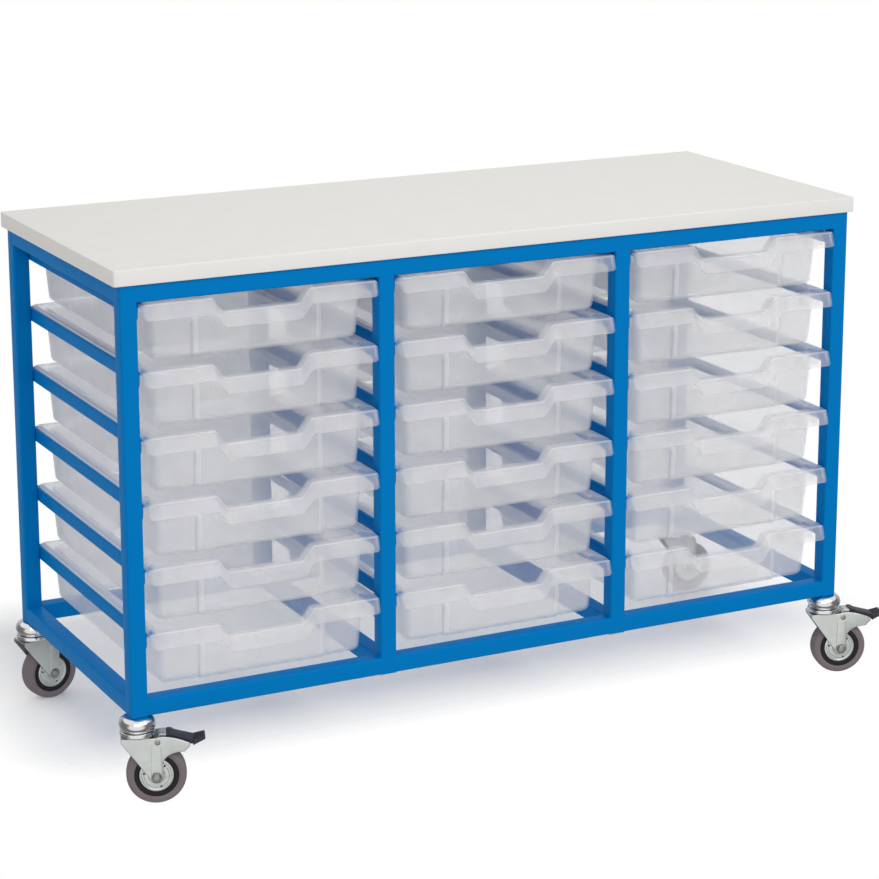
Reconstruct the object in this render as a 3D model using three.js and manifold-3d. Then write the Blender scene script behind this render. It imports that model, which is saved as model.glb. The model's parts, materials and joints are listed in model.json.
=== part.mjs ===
// Classroom tray storage unit: a welded square tube frame on four castors, with three
// columns of six pull-out trays under a laminated worktop.
// Millimetres, +Z up. X runs along the front, Y from the front to the back.
import * as THREE from 'three';
import { mergeVertices } from 'three/addons/utils/BufferGeometryUtils.js';
import Module from 'manifold-3d';

const wasm = await Module();
wasm.setup();

// Frame of square tube
const TUBE = 22;
const TUBE_WALL = 1.5;
const TUBE_CORNER = 2.5;
const BAY_WIDTH = 318;
const FRAME_DEPTH = 420;
const FRAME_HEIGHT = 543;
const COLUMN_NAMES = ['left', 'middle', 'right'];
const LADDER_NAMES = ['left', 'inner_left', 'inner_right', 'right'];
const LEVEL_PITCH = 82.5;

// Worktop board
const WORKTOP_THICKNESS = 20;
const WORKTOP_SIDE_OVERHANG = 8;
const WORKTOP_FRONT_OVERHANG = 3;
const WORKTOP_CORNER = 4;
const WORKTOP_EDGE = 1;
const WORKTOP_CORNER_STEPS = 2;

// Runners: folded steel angles welded to the inner faces of the posts
const RUNNER_HEIGHT = 16;
const RUNNER_LEDGE = 13;
const RUNNER_SHEET = 2;
const RUNNER_END_INSET = 4;
const RUNNER_WELD = 0.4;

// Trays: drafted shells hung on their side flanges
const TRAY_HEIGHT = 75;
const TRAY_WALL = 2.2;
const TRAY_DRAFT = 5;
const TRAY_CORNER = 10;
const TRAY_FOOT_ROUND = 3;
const TRAY_CORNER_STEPS = 2;
const TRAY_SIDE_CLEARANCE = 3;
const TRAY_REST_GAP = 0.3;
const TRAY_HEADROOM = 2;
const TRAY_BACK_INSET = 5;
const FLANGE_OVERHANG = 14;
const FLANGE_THICKNESS = 2.5;
const FLANGE_CORNER = 10;
const FLANGE_CORNER_STEPS = 1;

// Front lip of a tray, with the hand scoop in its middle
const LIP_REACH = 16;
const LIP_LEAN = 7;
const LIP_HEIGHT = 19;
const LIP_THICKNESS = 2;
const LIP_END_CHAMFER = 6;
const LIP_PROUD = 5;
const SCOOP_TOP_WIDTH = 133;
const SCOOP_FLOOR_WIDTH = 96;
const SCOOP_DIP = 18;
const SCOOP_STEPS = 3;

// Raised label panel in the middle of a tray's front wall
const PANEL_WIDTH = 168;
const PANEL_STEP = 4;
const PANEL_TOP_DROP = 26;

// Castors, measured from the underside of the posts
const CASTOR_TRAIL = 22;
const AXLE_DROP = 76.5;
const WHEEL_RADIUS = 37.5;
const WHEEL_STEPS = 16;
const TYRE_WIDTH = 23;
const TYRE_SHOULDER = 3;
const TYRE_DEPTH = 10;
const HUB_LENGTH = 25;
const HUB_RADIUS = 10;
const DISC_RADIUS = 22;
const DISC_SINK = 1.5;
const AXLE_RADIUS = 4.1;
const AXLE_HEAD_RADIUS = 6.5;
const AXLE_HEAD_LENGTH = 4;
const HEAD_RADIUS = 23.5;
const HEAD_DROP = 25.5;
const HEAD_STEPS = 12;
const RACE_HEIGHT = 6.5;
const RACE_GROOVE = 2;
const DOME_EASE = 4;
const STEM_LENGTH = 35;
const KING_PIN_RADIUS = 6;
const PIN_STEPS = 8;
const PRESSED_CURVE_STEPS = 3;
const RUNNING_GAP = 0.3;
const HOLE_CLEARANCE = 0.6;

// Castor fork, drawn in the plane of the wheel
const FORK_SHEET = 2.5;
const FORK_INNER_WIDTH = 28;
const FORK_CROWN_REACH = 21;
const FORK_HEEL_DROP = 5;
const FORK_SHOULDER = 8;
const FORK_LEG_RADIUS = 11;
const FORK_LEG_ROOT_DROP = 32;
const FORK_LEG_WRAP = 0.88 * Math.PI;

// Arms of a braked fork, past the crown
const ARM_REACH = 64;
const ARM_CREST = 5;
const ARM_END_DROP = 8;
const ARM_END_HEIGHT = 4;
const ARM_TOE = 7;
const ARM_THROAT = 14;

// Brake pedal: a bent lever on a pin between the arms, with a tread at its end
const PEDAL_PIVOT_DROP = 31;
const PEDAL_PIVOT_OFFSET = 2;
const PEDAL_PIN_RADIUS = 3;
const PEDAL_PIN_PROUD = 0.5;
const PEDAL_BOSS_RADIUS = 4.5;
const PEDAL_BOSS_END = 1.75 * Math.PI;
const PEDAL_LEVER_WIDTH = 20;
const PEDAL_LEVER_RISE = 18;
const PEDAL_LEVER_CREST = 12;
const PEDAL_LEVER_FALL = 8;
const PEDAL_LEVER_DEPTH = 9;
const PEDAL_TREAD_WIDTH = 27;
const PEDAL_TREAD_LENGTH = 15;
const PEDAL_TREAD_DEPTH = 12;
const PEDAL_TREAD_LIFT = 4;
const PEDAL_ARM_GAP = 4;

// Which way each castor trails, in degrees about +Z from +X, and which ones have a brake
const CASTORS = [
  { name: 'front_left', side: -1, end: -1, heading: -20, brake: true },
  { name: 'front_right', side: 1, end: -1, heading: -18, brake: true },
  { name: 'rear_left', side: -1, end: 1, heading: 10, brake: false },
  { name: 'rear_right', side: 1, end: 1, heading: -6, brake: false },
];

// Finishes
const finish = (color, roughness, metalness) =>
  new THREE.MeshStandardMaterial({ color, roughness, metalness, flatShading: true });
const BLUE_COAT = finish(0x0070be, 0.42, 0);
const WHITE_LAMINATE = finish(0xe4e2de, 0.5, 0);
const FROSTED_PLASTIC = finish(0xcdcdd0, 0.35, 0);
const ZINC = finish(0xbec3be, 0.35, 1);
const CHROME = finish(0xd8d8d8, 0.1, 1);
const GREY_RUBBER = finish(0x7d7175, 0.8, 0);
const BLACK_PLASTIC = finish(0x231c20, 0.5, 0);
const PEDAL_PLASTIC = finish(0x3e3c46, 0.55, 0);

// Sizes that follow from the driving ones
const POST_PITCH = TUBE + BAY_WIDTH;
const FRAME_WIDTH = COLUMN_NAMES.length * POST_PITCH + TUBE;
const TUBE_BORE = TUBE - 2 * TUBE_WALL;
const TRAY_WIDTH = BAY_WIDTH - 2 * TRAY_SIDE_CLEARANCE;
const TOP_FLANGE_HEIGHT = FRAME_HEIGHT - TUBE - TRAY_HEADROOM;
const TOP_RUNNER_HEIGHT = TOP_FLANGE_HEIGHT - FLANGE_THICKNESS - TRAY_REST_GAP;
// As many levels as the frame holds between its rails
const LEVELS = 1 + Math.floor((TOP_FLANGE_HEIGHT - TUBE - TRAY_HEIGHT) / LEVEL_PITCH);
const FORK_WIDTH = FORK_INNER_WIDTH + 2 * FORK_SHEET;
const PEDAL_PIVOT = CASTOR_TRAIL + PEDAL_PIVOT_OFFSET;
const CUT_MARGIN = 40;

const root = new THREE.Group();

// Makes a named piece of the unit and hangs it in a group.
function addPiece(name, geometry, material, parent = root) {
  const piece = new THREE.Mesh(geometry, material);
  piece.name = name;
  parent.add(piece);
  return piece;
}

// A closed geometry as a solid that can be joined and cut.
function solid(geometry) {
  geometry.deleteAttribute('normal');
  geometry.deleteAttribute('uv');
  const merged = mergeVertices(geometry, 1e-4);
  const vertProperties = new Float32Array(merged.attributes.position.array);
  const triVerts = new Uint32Array(merged.index.array);
  return new wasm.Manifold(new wasm.Mesh({ numProp: 3, vertProperties, triVerts }));
}

// The geometry of a finished solid.
function geometryOf(body) {
  const mesh = body.getMesh();
  const geometry = new THREE.BufferGeometry();
  geometry.setAttribute('position', new THREE.BufferAttribute(mesh.vertProperties, 3));
  geometry.setIndex(new THREE.BufferAttribute(mesh.triVerts, 1));
  geometry.computeVertexNormals();
  return geometry;
}

const joined = (bodies) => bodies.reduce((sum, body) => sum.add(body));
const cut = (body, tools) => tools.reduce((rest, tool) => rest.subtract(tool), body);

// A box between two corners.
function block(low, high) {
  const size = high.map((value, axis) => value - low[axis]);
  const box = new THREE.BoxGeometry(...size);
  box.translate(...low.map((value, axis) => value + size[axis] / 2));
  return solid(box);
}

// A round bar along Y, centred on y = 0 at the given place in the plane of the wheel.
function roundBar(radius, length, x, z) {
  return solid(new THREE.CylinderGeometry(radius, radius, length, PIN_STEPS).translate(x, 0, z));
}

// Joins rings of equal point counts into a closed skin; flatten turns a ring's points into
// the plane of the end caps, counter-clockwise as seen from beyond the last ring.
function loft(rings, flatten) {
  const count = rings[0].length;
  const last = (rings.length - 1) * count;
  const index = [];
  for (let ring = 0; ring + 1 < rings.length; ring += 1) {
    for (let i = 0; i < count; i += 1) {
      const here = ring * count + i;
      const next = ring * count + ((i + 1) % count);
      index.push(here, next, next + count, here, next + count, here + count);
    }
  }
  for (const [a, b, c] of THREE.ShapeUtils.triangulateShape(rings[0].map(flatten), [])) {
    index.push(a, c, b);
    index.push(last + a, last + b, last + c);
  }
  const geometry = new THREE.BufferGeometry().setFromPoints(rings.flat());
  geometry.setIndex(index);
  return solid(geometry);
}

// A profile revolved about Z, given as [radius, height] pairs from the bottom up.
function turned(profile, steps) {
  const lathe = new THREE.LatheGeometry(profile.map(([r, z]) => new THREE.Vector2(r, z)), steps);
  return lathe.rotateX(Math.PI / 2);
}

// A rounded rectangle in plan at one height, counter-clockwise from above.
function planRing({ left, right, front, back, radius, steps, height }) {
  const corners = [
    [right - radius, back - radius, 0],
    [left + radius, back - radius, 1],
    [left + radius, front + radius, 2],
    [right - radius, front + radius, 3],
  ];
  return corners.flatMap(([x, y, quarter]) => Array.from({ length: steps + 1 }, (_, step) => {
    const angle = (quarter + step / steps) * Math.PI / 2;
    return new THREE.Vector3(x + radius * Math.cos(angle), y + radius * Math.sin(angle), height);
  }));
}

const fromAbove = (point) => new THREE.Vector2(point.x, point.y);
const fromTheRight = (point) => new THREE.Vector2(point.y, point.z);

// A length of tube standing on z = 0, solid or with its bore left open at both ends.
function tube(length, hollow) {
  const face = TUBE / 2;
  const flat = face - TUBE_CORNER;
  const outline = new THREE.Shape([
    [face, flat], [flat, face], [-flat, face], [-face, flat],
    [-face, -flat], [-flat, -face], [flat, -face], [face, -flat],
  ].map(([x, y]) => new THREE.Vector2(x, y)));
  if (hollow) {
    const half = TUBE_BORE / 2;
    const corners = [[half, half], [half, -half], [-half, -half], [-half, half]];
    outline.holes.push(new THREE.Path(corners.map(([x, y]) => new THREE.Vector2(x, y))));
  }
  return new THREE.ExtrudeGeometry(outline, { depth: length, bevelEnabled: false });
}

// The worktop board, with its edges eased.
function worktop() {
  const halfWidth = FRAME_WIDTH / 2 + WORKTOP_SIDE_OVERHANG;
  const ring = (height, ease) => planRing({
    left: -halfWidth + ease,
    right: halfWidth - ease,
    front: -WORKTOP_FRONT_OVERHANG + ease,
    back: FRAME_DEPTH + WORKTOP_FRONT_OVERHANG - ease,
    radius: WORKTOP_CORNER,
    steps: WORKTOP_CORNER_STEPS,
    height: FRAME_HEIGHT + height,
  });
  const rings = [
    ring(0, WORKTOP_EDGE),
    ring(WORKTOP_EDGE, 0),
    ring(WORKTOP_THICKNESS - WORKTOP_EDGE, 0),
    ring(WORKTOP_THICKNESS, WORKTOP_EDGE),
  ];
  addPiece('worktop', geometryOf(loft(rings, fromAbove)), WHITE_LAMINATE);
}

// One runner against the face of a post at x = face, opening towards the given side.
function runner(face, side, top) {
  const outer = -RUNNER_WELD;
  const outline = new THREE.Shape([
    [outer, 0],
    [outer, -RUNNER_HEIGHT],
    [RUNNER_SHEET, -RUNNER_HEIGHT],
    [RUNNER_SHEET, -RUNNER_SHEET],
    [RUNNER_LEDGE, -RUNNER_SHEET],
    [RUNNER_LEDGE, 0],
  ].map(([x, z]) => new THREE.Vector2(side * x, z)));
  const length = FRAME_DEPTH - 2 * RUNNER_END_INSET;
  const angle = new THREE.ExtrudeGeometry(outline, { depth: length, bevelEnabled: false });
  angle.rotateX(Math.PI / 2);
  return solid(angle.translate(face, FRAME_DEPTH - RUNNER_END_INSET, top));
}

// One side frame: two posts, two cross rails and the runners welded to them.
function sideFrame(name, position) {
  const middle = -FRAME_WIDTH / 2 + TUBE / 2 + position * POST_PITCH;
  const railHeights = [TUBE / 2, FRAME_HEIGHT - TUBE / 2];
  const postDepths = [TUBE / 2, FRAME_DEPTH - TUBE / 2];
  const steel = [];
  const bores = [];
  for (const y of postDepths) {
    const half = TUBE_BORE / 2;
    steel.push(solid(tube(FRAME_HEIGHT, false).translate(middle, y, 0)));
    bores.push(block(
      [middle - half, y - half, -CUT_MARGIN],
      [middle + half, y + half, FRAME_HEIGHT + CUT_MARGIN],
    ));
  }
  for (const z of railHeights) {
    const half = TUBE_BORE / 2;
    const length = FRAME_DEPTH - TUBE;
    const rail = tube(length, false).rotateX(-Math.PI / 2);
    steel.push(solid(rail.translate(middle, TUBE / 2, z)));
    bores.push(block(
      [middle - half, postDepths[0], z - half],
      [middle + half, postDepths[1], z + half],
    ));
  }
  const sides = [-1, 1].filter((side) => LADDER_NAMES[position + side] !== undefined);
  for (const side of sides) {
    for (let level = 0; level < LEVELS; level += 1) {
      steel.push(runner(middle + side * TUBE / 2, side, TOP_RUNNER_HEIGHT - level * LEVEL_PITCH));
    }
  }
  addPiece(name, geometryOf(cut(joined(steel), bores)), BLUE_COAT);
}

// The rails along the front and the back, one length in each bay.
function longRails() {
  const rows = [['front', TUBE / 2], ['rear', FRAME_DEPTH - TUBE / 2]];
  const heights = [['bottom', TUBE / 2], ['top', FRAME_HEIGHT - TUBE / 2]];
  for (const [row, y] of rows) {
    for (const [level, z] of heights) {
      COLUMN_NAMES.forEach((column, bay) => {
        const start = -FRAME_WIDTH / 2 + TUBE + bay * POST_PITCH;
        const rail = tube(BAY_WIDTH, true).rotateY(Math.PI / 2);
        addPiece(`${row}_${level}_rail_${column}`, rail, BLUE_COAT).position.set(start, y, z);
      });
    }
  }
}

// Drop of the tray's front edge at a distance from the middle of the scoop.
function scoopDrop(x) {
  const top = SCOOP_TOP_WIDTH / 2;
  const floor = SCOOP_FLOOR_WIDTH / 2;
  const share = THREE.MathUtils.smoothstep(top - Math.abs(x), 0, top - floor);
  return -SCOOP_DIP * share;
}

// Places across the tray where the scoop's edge bends, from left to right.
function scoopStations() {
  const top = SCOOP_TOP_WIDTH / 2;
  const floor = SCOOP_FLOOR_WIDTH / 2;
  const right = Array.from({ length: SCOOP_STEPS + 1 }, (_, step) =>
    THREE.MathUtils.lerp(floor, top, step / SCOOP_STEPS));
  return [...right.map((x) => -x).reverse(), ...right];
}

// A tray with its flange top at z = 0, its middle at x = 0 and the frame's front at y = 0.
function trayGeometry() {
  const flangeHalf = TRAY_WIDTH / 2;
  const wallHalf = flangeHalf - FLANGE_OVERHANG;
  const wallFront = LIP_REACH - LIP_PROUD;
  const flangeBack = FRAME_DEPTH - TRAY_BACK_INSET;
  const wallBack = flangeBack - FLANGE_OVERHANG;
  const lean = (height) => -height / TRAY_HEIGHT * TRAY_DRAFT;

  // A ring of the wall at one height, set in from the outside by the given amount.
  const wallRing = (height, inset) => planRing({
    left: -wallHalf + lean(height) + inset,
    right: wallHalf - lean(height) - inset,
    front: wallFront + lean(height) + inset,
    back: wallBack - lean(height) - inset,
    radius: TRAY_CORNER - inset,
    steps: TRAY_CORNER_STEPS,
    height,
  });
  const outside = loft([
    wallRing(-TRAY_HEIGHT, TRAY_FOOT_ROUND),
    wallRing(-TRAY_HEIGHT + TRAY_FOOT_ROUND, 0),
    wallRing(0, 0),
  ], fromAbove);
  const floor = -TRAY_HEIGHT + TRAY_WALL;
  const inside = loft([wallRing(floor, TRAY_WALL), wallRing(FLANGE_THICKNESS, TRAY_WALL)], fromAbove);

  // The label panel stands proud of the front wall, and its back is hollowed alike.
  const panel = (inset, top, bottom) => {
    const half = PANEL_WIDTH / 2 - inset;
    const row = (height) => {
      const face = wallFront + lean(height) - PANEL_STEP + inset;
      const back = face + PANEL_STEP + TRAY_WALL / 2;
      return [[half, back], [-half, back], [-half, face], [half, face]]
        .map(([x, y]) => new THREE.Vector3(x, y, height));
    };
    return loft([row(bottom), row(top)], fromAbove);
  };
  const panelFoot = -TRAY_HEIGHT + TRAY_FOOT_ROUND;
  const panelOutside = panel(0, -PANEL_TOP_DROP, panelFoot);
  const panelInside = panel(TRAY_WALL, -PANEL_TOP_DROP - TRAY_WALL, panelFoot + TRAY_WALL);

  const flangeRing = (height) => planRing({
    left: -flangeHalf,
    right: flangeHalf,
    front: LIP_THICKNESS - LIP_PROUD,
    back: flangeBack,
    radius: FLANGE_CORNER,
    steps: FLANGE_CORNER_STEPS,
    height,
  });
  const flange = loft([flangeRing(-FLANGE_THICKNESS), flangeRing(0)], fromAbove);

  // The scoop is cut half through the thickness of the lip that is laid into it.
  const stations = scoopStations();
  const scoopSide = (y) => [
    ...stations.map((x) => new THREE.Vector3(x, y, scoopDrop(x) - FLANGE_THICKNESS / 2)),
    new THREE.Vector3(SCOOP_TOP_WIDTH / 2, y, CUT_MARGIN),
    new THREE.Vector3(-SCOOP_TOP_WIDTH / 2, y, CUT_MARGIN),
  ];
  const fromBehind = (point) => new THREE.Vector2(point.x, point.z);
  const scoop = loft([scoopSide(wallFront + CUT_MARGIN / 2), scoopSide(-CUT_MARGIN)], fromBehind);

  // The lip: flange forward from the wall, then a skirt that leans out to its lower edge.
  const lipSection = (x, drop, depth, ease) => {
    const front = ease - LIP_PROUD;
    const foot = front - LIP_LEAN * depth / LIP_HEIGHT;
    const inner = wallFront + TRAY_WALL;
    return [
      [inner, 0],
      [front, 0],
      [foot, -depth],
      [foot + LIP_THICKNESS, -depth],
      [front + LIP_THICKNESS, -FLANGE_THICKNESS],
      [inner, -FLANGE_THICKNESS],
    ].map(([y, z]) => new THREE.Vector3(x, y, z + drop));
  };
  const endDepth = LIP_HEIGHT - LIP_END_CHAMFER;
  const shoulder = flangeHalf - LIP_END_CHAMFER;
  const lip = loft([
    lipSection(-flangeHalf, 0, endDepth, LIP_END_CHAMFER / 2),
    lipSection(-shoulder, 0, LIP_HEIGHT, 0),
    ...stations.map((x) => lipSection(x, scoopDrop(x), LIP_HEIGHT, 0)),
    lipSection(shoulder, 0, LIP_HEIGHT, 0),
    lipSection(flangeHalf, 0, endDepth, LIP_END_CHAMFER / 2),
  ], fromTheRight);

  const shell = cut(joined([outside, flange, panelOutside]), [inside, panelInside, scoop]);
  return geometryOf(shell.add(lip.subtract(inside)));
}

// Every tray on its own pair of runners, numbered from the top down.
function trays() {
  const geometry = trayGeometry();
  COLUMN_NAMES.forEach((column, bay) => {
    const middle = -FRAME_WIDTH / 2 + TUBE + BAY_WIDTH / 2 + bay * POST_PITCH;
    for (let level = 0; level < LEVELS; level += 1) {
      const height = TOP_FLANGE_HEIGHT - level * LEVEL_PITCH;
      const tray = addPiece(`tray_${column}_${level + 1}`, geometry, FROSTED_PLASTIC);
      tray.position.set(middle, 0, height);
    }
  });
}

// The fixed head of a castor: expander stem in the post, domed cover, ball race and king pin.
function castorHead() {
  const raceTop = -HEAD_DROP + RACE_HEIGHT;
  const stem = TUBE_BORE / 2 - RUNNING_GAP;
  const pinEnd = -HEAD_DROP - RUNNING_GAP - 2 * FORK_SHEET;
  return turned([
    [0, pinEnd],
    [KING_PIN_RADIUS, pinEnd],
    [KING_PIN_RADIUS, -HEAD_DROP],
    [HEAD_RADIUS, -HEAD_DROP],
    [HEAD_RADIUS, raceTop - RACE_GROOVE],
    [HEAD_RADIUS - RACE_GROOVE, raceTop],
    [HEAD_RADIUS, raceTop + 2 * RACE_GROOVE],
    [HEAD_RADIUS - DOME_EASE, -DOME_EASE],
    [TUBE / 2 + RACE_GROOVE, 0],
    [stem, 0],
    [stem, STEM_LENGTH],
    [0, STEM_LENGTH],
  ], HEAD_STEPS);
}

// An outline in the plane of the wheel, pressed to a width across it.
function acrossTheWheel(outline, width) {
  const plate = new THREE.ExtrudeGeometry(outline, {
    depth: width, bevelEnabled: false, curveSegments: PRESSED_CURVE_STEPS,
  });
  plate.rotateX(Math.PI / 2);
  return solid(plate.translate(0, width / 2, 0));
}

// The pressed fork: two legs down to the axle, a crown under the race and, where the castor
// has a brake, two arms that carry the pedal.
function fork(brake) {
  const top = -HEAD_DROP - RUNNING_GAP;
  const ceiling = top - FORK_SHEET;
  const legRoot = top - FORK_LEG_ROOT_DROP;
  const outline = new THREE.Shape();
  outline.moveTo(-FORK_CROWN_REACH, top);
  outline.lineTo(FORK_CROWN_REACH, top);
  if (brake) {
    const armEnd = top - ARM_END_DROP;
    const armFoot = armEnd - ARM_END_HEIGHT;
    const toe = armFoot - ARM_TOE;
    const throat = CASTOR_TRAIL + ARM_THROAT;
    outline.quadraticCurveTo(throat, top + ARM_CREST, ARM_REACH, armEnd);
    outline.lineTo(ARM_REACH, armFoot);
    outline.lineTo(ARM_REACH - ARM_TOE, toe);
    outline.quadraticCurveTo(throat, toe, CASTOR_TRAIL + FORK_LEG_RADIUS, legRoot);
  } else {
    const shoulder = CASTOR_TRAIL + FORK_SHOULDER;
    outline.quadraticCurveTo(shoulder, top, shoulder, top - FORK_SHOULDER);
    outline.lineTo(CASTOR_TRAIL + FORK_LEG_RADIUS, legRoot);
  }
  outline.absarc(CASTOR_TRAIL, -AXLE_DROP, FORK_LEG_RADIUS, 0, -FORK_LEG_WRAP, true);
  outline.lineTo(-FORK_CROWN_REACH, top - FORK_HEEL_DROP);
  outline.closePath();

  const inner = FORK_INNER_WIDTH / 2;
  const through = FORK_WIDTH + CUT_MARGIN;
  const pinHole = KING_PIN_RADIUS + HOLE_CLEARANCE;
  const slots = [
    block([-CUT_MARGIN, -inner, -AXLE_DROP - CUT_MARGIN], [2 * CUT_MARGIN, inner, ceiling]),
    roundBar(AXLE_RADIUS + HOLE_CLEARANCE, through, CASTOR_TRAIL, -AXLE_DROP),
    solid(new THREE.CylinderGeometry(pinHole, pinHole, CUT_MARGIN, HEAD_STEPS).rotateX(Math.PI / 2)
      .translate(0, 0, top)),
  ];
  if (brake) {
    const pedalSlot = CASTOR_TRAIL - PEDAL_BOSS_RADIUS;
    slots.push(block([pedalSlot, -inner, ceiling - FORK_SHEET], [2 * CUT_MARGIN, inner, CUT_MARGIN]));
    slots.push(roundBar(PEDAL_PIN_RADIUS + HOLE_CLEARANCE, through, PEDAL_PIVOT, -PEDAL_PIVOT_DROP));
  }
  return geometryOf(cut(acrossTheWheel(outline, FORK_WIDTH), slots));
}

// The axle bolt through the fork legs and the hub, with its head and nut.
function axle() {
  const seat = FORK_WIDTH / 2 + RUNNING_GAP;
  const end = seat + AXLE_HEAD_LENGTH;
  const bolt = turned([
    [0, -end],
    [AXLE_HEAD_RADIUS, -end],
    [AXLE_HEAD_RADIUS, -seat],
    [AXLE_RADIUS, -seat],
    [AXLE_RADIUS, seat],
    [AXLE_HEAD_RADIUS, seat],
    [AXLE_HEAD_RADIUS, end],
    [0, end],
  ], PIN_STEPS);
  return bolt.rotateX(Math.PI / 2);
}

// A wheel profile revolved about Y with a flat of its rim facing the floor.
function wheelRing(profile) {
  const trueFlats = 1 / Math.cos(Math.PI / WHEEL_STEPS);
  const closed = [...profile, profile[0]].map(([r, y]) => [r * trueFlats, y]);
  return turned(closed, WHEEL_STEPS).rotateZ(Math.PI / WHEEL_STEPS).rotateX(Math.PI / 2);
}

function tyre() {
  const half = TYRE_WIDTH / 2;
  const inner = WHEEL_RADIUS - TYRE_DEPTH;
  return wheelRing([
    [inner, -half],
    [WHEEL_RADIUS - TYRE_SHOULDER, -half],
    [WHEEL_RADIUS, -half + TYRE_SHOULDER],
    [WHEEL_RADIUS, half - TYRE_SHOULDER],
    [WHEEL_RADIUS - TYRE_SHOULDER, half],
    [inner, half],
  ]);
}

function wheelCentre() {
  const bore = AXLE_RADIUS + RUNNING_GAP;
  const rim = WHEEL_RADIUS - TYRE_DEPTH - RUNNING_GAP;
  const half = TYRE_WIDTH / 2 - RUNNING_GAP;
  const hub = HUB_LENGTH / 2;
  return wheelRing([
    [bore, -hub],
    [HUB_RADIUS, -hub],
    [DISC_RADIUS, -half + DISC_SINK],
    [rim, -half],
    [rim, half],
    [DISC_RADIUS, half - DISC_SINK],
    [HUB_RADIUS, hub],
    [bore, hub],
  ]);
}

// The brake pedal: a bent lever on its pin, with a tread at the end.
function brakePedal() {
  const treadStart = ARM_REACH + PEDAL_ARM_GAP;
  const treadEnd = treadStart + PEDAL_TREAD_LENGTH;
  const crest = PEDAL_LEVER_RISE - PEDAL_PIVOT_DROP;
  const leverEnd = crest - PEDAL_LEVER_FALL;
  const treadFoot = leverEnd - PEDAL_TREAD_DEPTH;
  const leverFoot = leverEnd - PEDAL_LEVER_DEPTH;
  const joint = treadStart + PEDAL_LEVER_DEPTH / 2;
  const shoulder = PEDAL_PIVOT + PEDAL_LEVER_CREST;
  const knee = shoulder + PEDAL_LEVER_CREST;
  const lever = new THREE.Shape();
  lever.moveTo(PEDAL_PIVOT - PEDAL_BOSS_RADIUS, -PEDAL_PIVOT_DROP);
  lever.absarc(PEDAL_PIVOT, -PEDAL_PIVOT_DROP, PEDAL_BOSS_RADIUS, Math.PI, PEDAL_BOSS_END);
  lever.lineTo(knee, leverFoot);
  lever.lineTo(joint, leverFoot);
  lever.lineTo(joint, leverEnd);
  lever.quadraticCurveTo(knee, crest, shoulder, crest);
  lever.closePath();
  const tread = new THREE.Shape([
    [treadStart, treadFoot],
    [treadEnd, treadFoot + PEDAL_TREAD_LIFT],
    [treadEnd, leverEnd + PEDAL_TREAD_LIFT],
    [treadStart, leverEnd],
  ].map(([x, z]) => new THREE.Vector2(x, z)));
  return geometryOf(joined([
    acrossTheWheel(lever, PEDAL_LEVER_WIDTH),
    acrossTheWheel(tread, PEDAL_TREAD_WIDTH),
    roundBar(PEDAL_PIN_RADIUS, FORK_WIDTH + 2 * PEDAL_PIN_PROUD, PEDAL_PIVOT, -PEDAL_PIVOT_DROP),
  ]));
}

// The four castors under the corner posts.
function castors() {
  for (const { name, side, end, heading, brake } of CASTORS) {
    const x = side * (FRAME_WIDTH - TUBE) / 2;
    const y = FRAME_DEPTH / 2 + end * (FRAME_DEPTH - TUBE) / 2;
    addPiece(`castor_head_${name}`, castorHead(), CHROME).position.set(x, y, 0);
    const swivel = new THREE.Group();
    swivel.position.set(x, y, 0);
    swivel.rotation.z = THREE.MathUtils.degToRad(heading);
    root.add(swivel);
    addPiece(`castor_fork_${name}`, fork(brake), ZINC, swivel);
    const wheel = new THREE.Group();
    wheel.position.set(CASTOR_TRAIL, 0, -AXLE_DROP);
    swivel.add(wheel);
    addPiece(`castor_axle_${name}`, axle(), ZINC, wheel);
    addPiece(`castor_wheel_centre_${name}`, wheelCentre(), BLACK_PLASTIC, wheel);
    addPiece(`castor_tyre_${name}`, tyre(), GREY_RUBBER, wheel);
    if (brake) {
      addPiece(`brake_pedal_${name}`, brakePedal(), PEDAL_PLASTIC, swivel);
    }
  }
}

worktop();
LADDER_NAMES.forEach((name, position) => sideFrame(`side_frame_${name}`, position));
longRails();
castors();
trays();

// Stand the unit on the floor, with the origin under the middle of its box.
const box = new THREE.Box3().setFromObject(root, true);
const middle = box.getCenter(new THREE.Vector3());
root.position.set(-middle.x, -middle.y, -box.min.z);
root.updateMatrixWorld(true);

export default root;
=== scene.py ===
"""Looks of a classroom tray storage unit: coated tube frame, laminated worktop, frosted trays, castors."""
import json
import math
from functools import cache

import bmesh
import bpy
from bpy.props import FloatProperty, FloatVectorProperty, PointerProperty
from mathutils import Matrix, Vector


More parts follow.
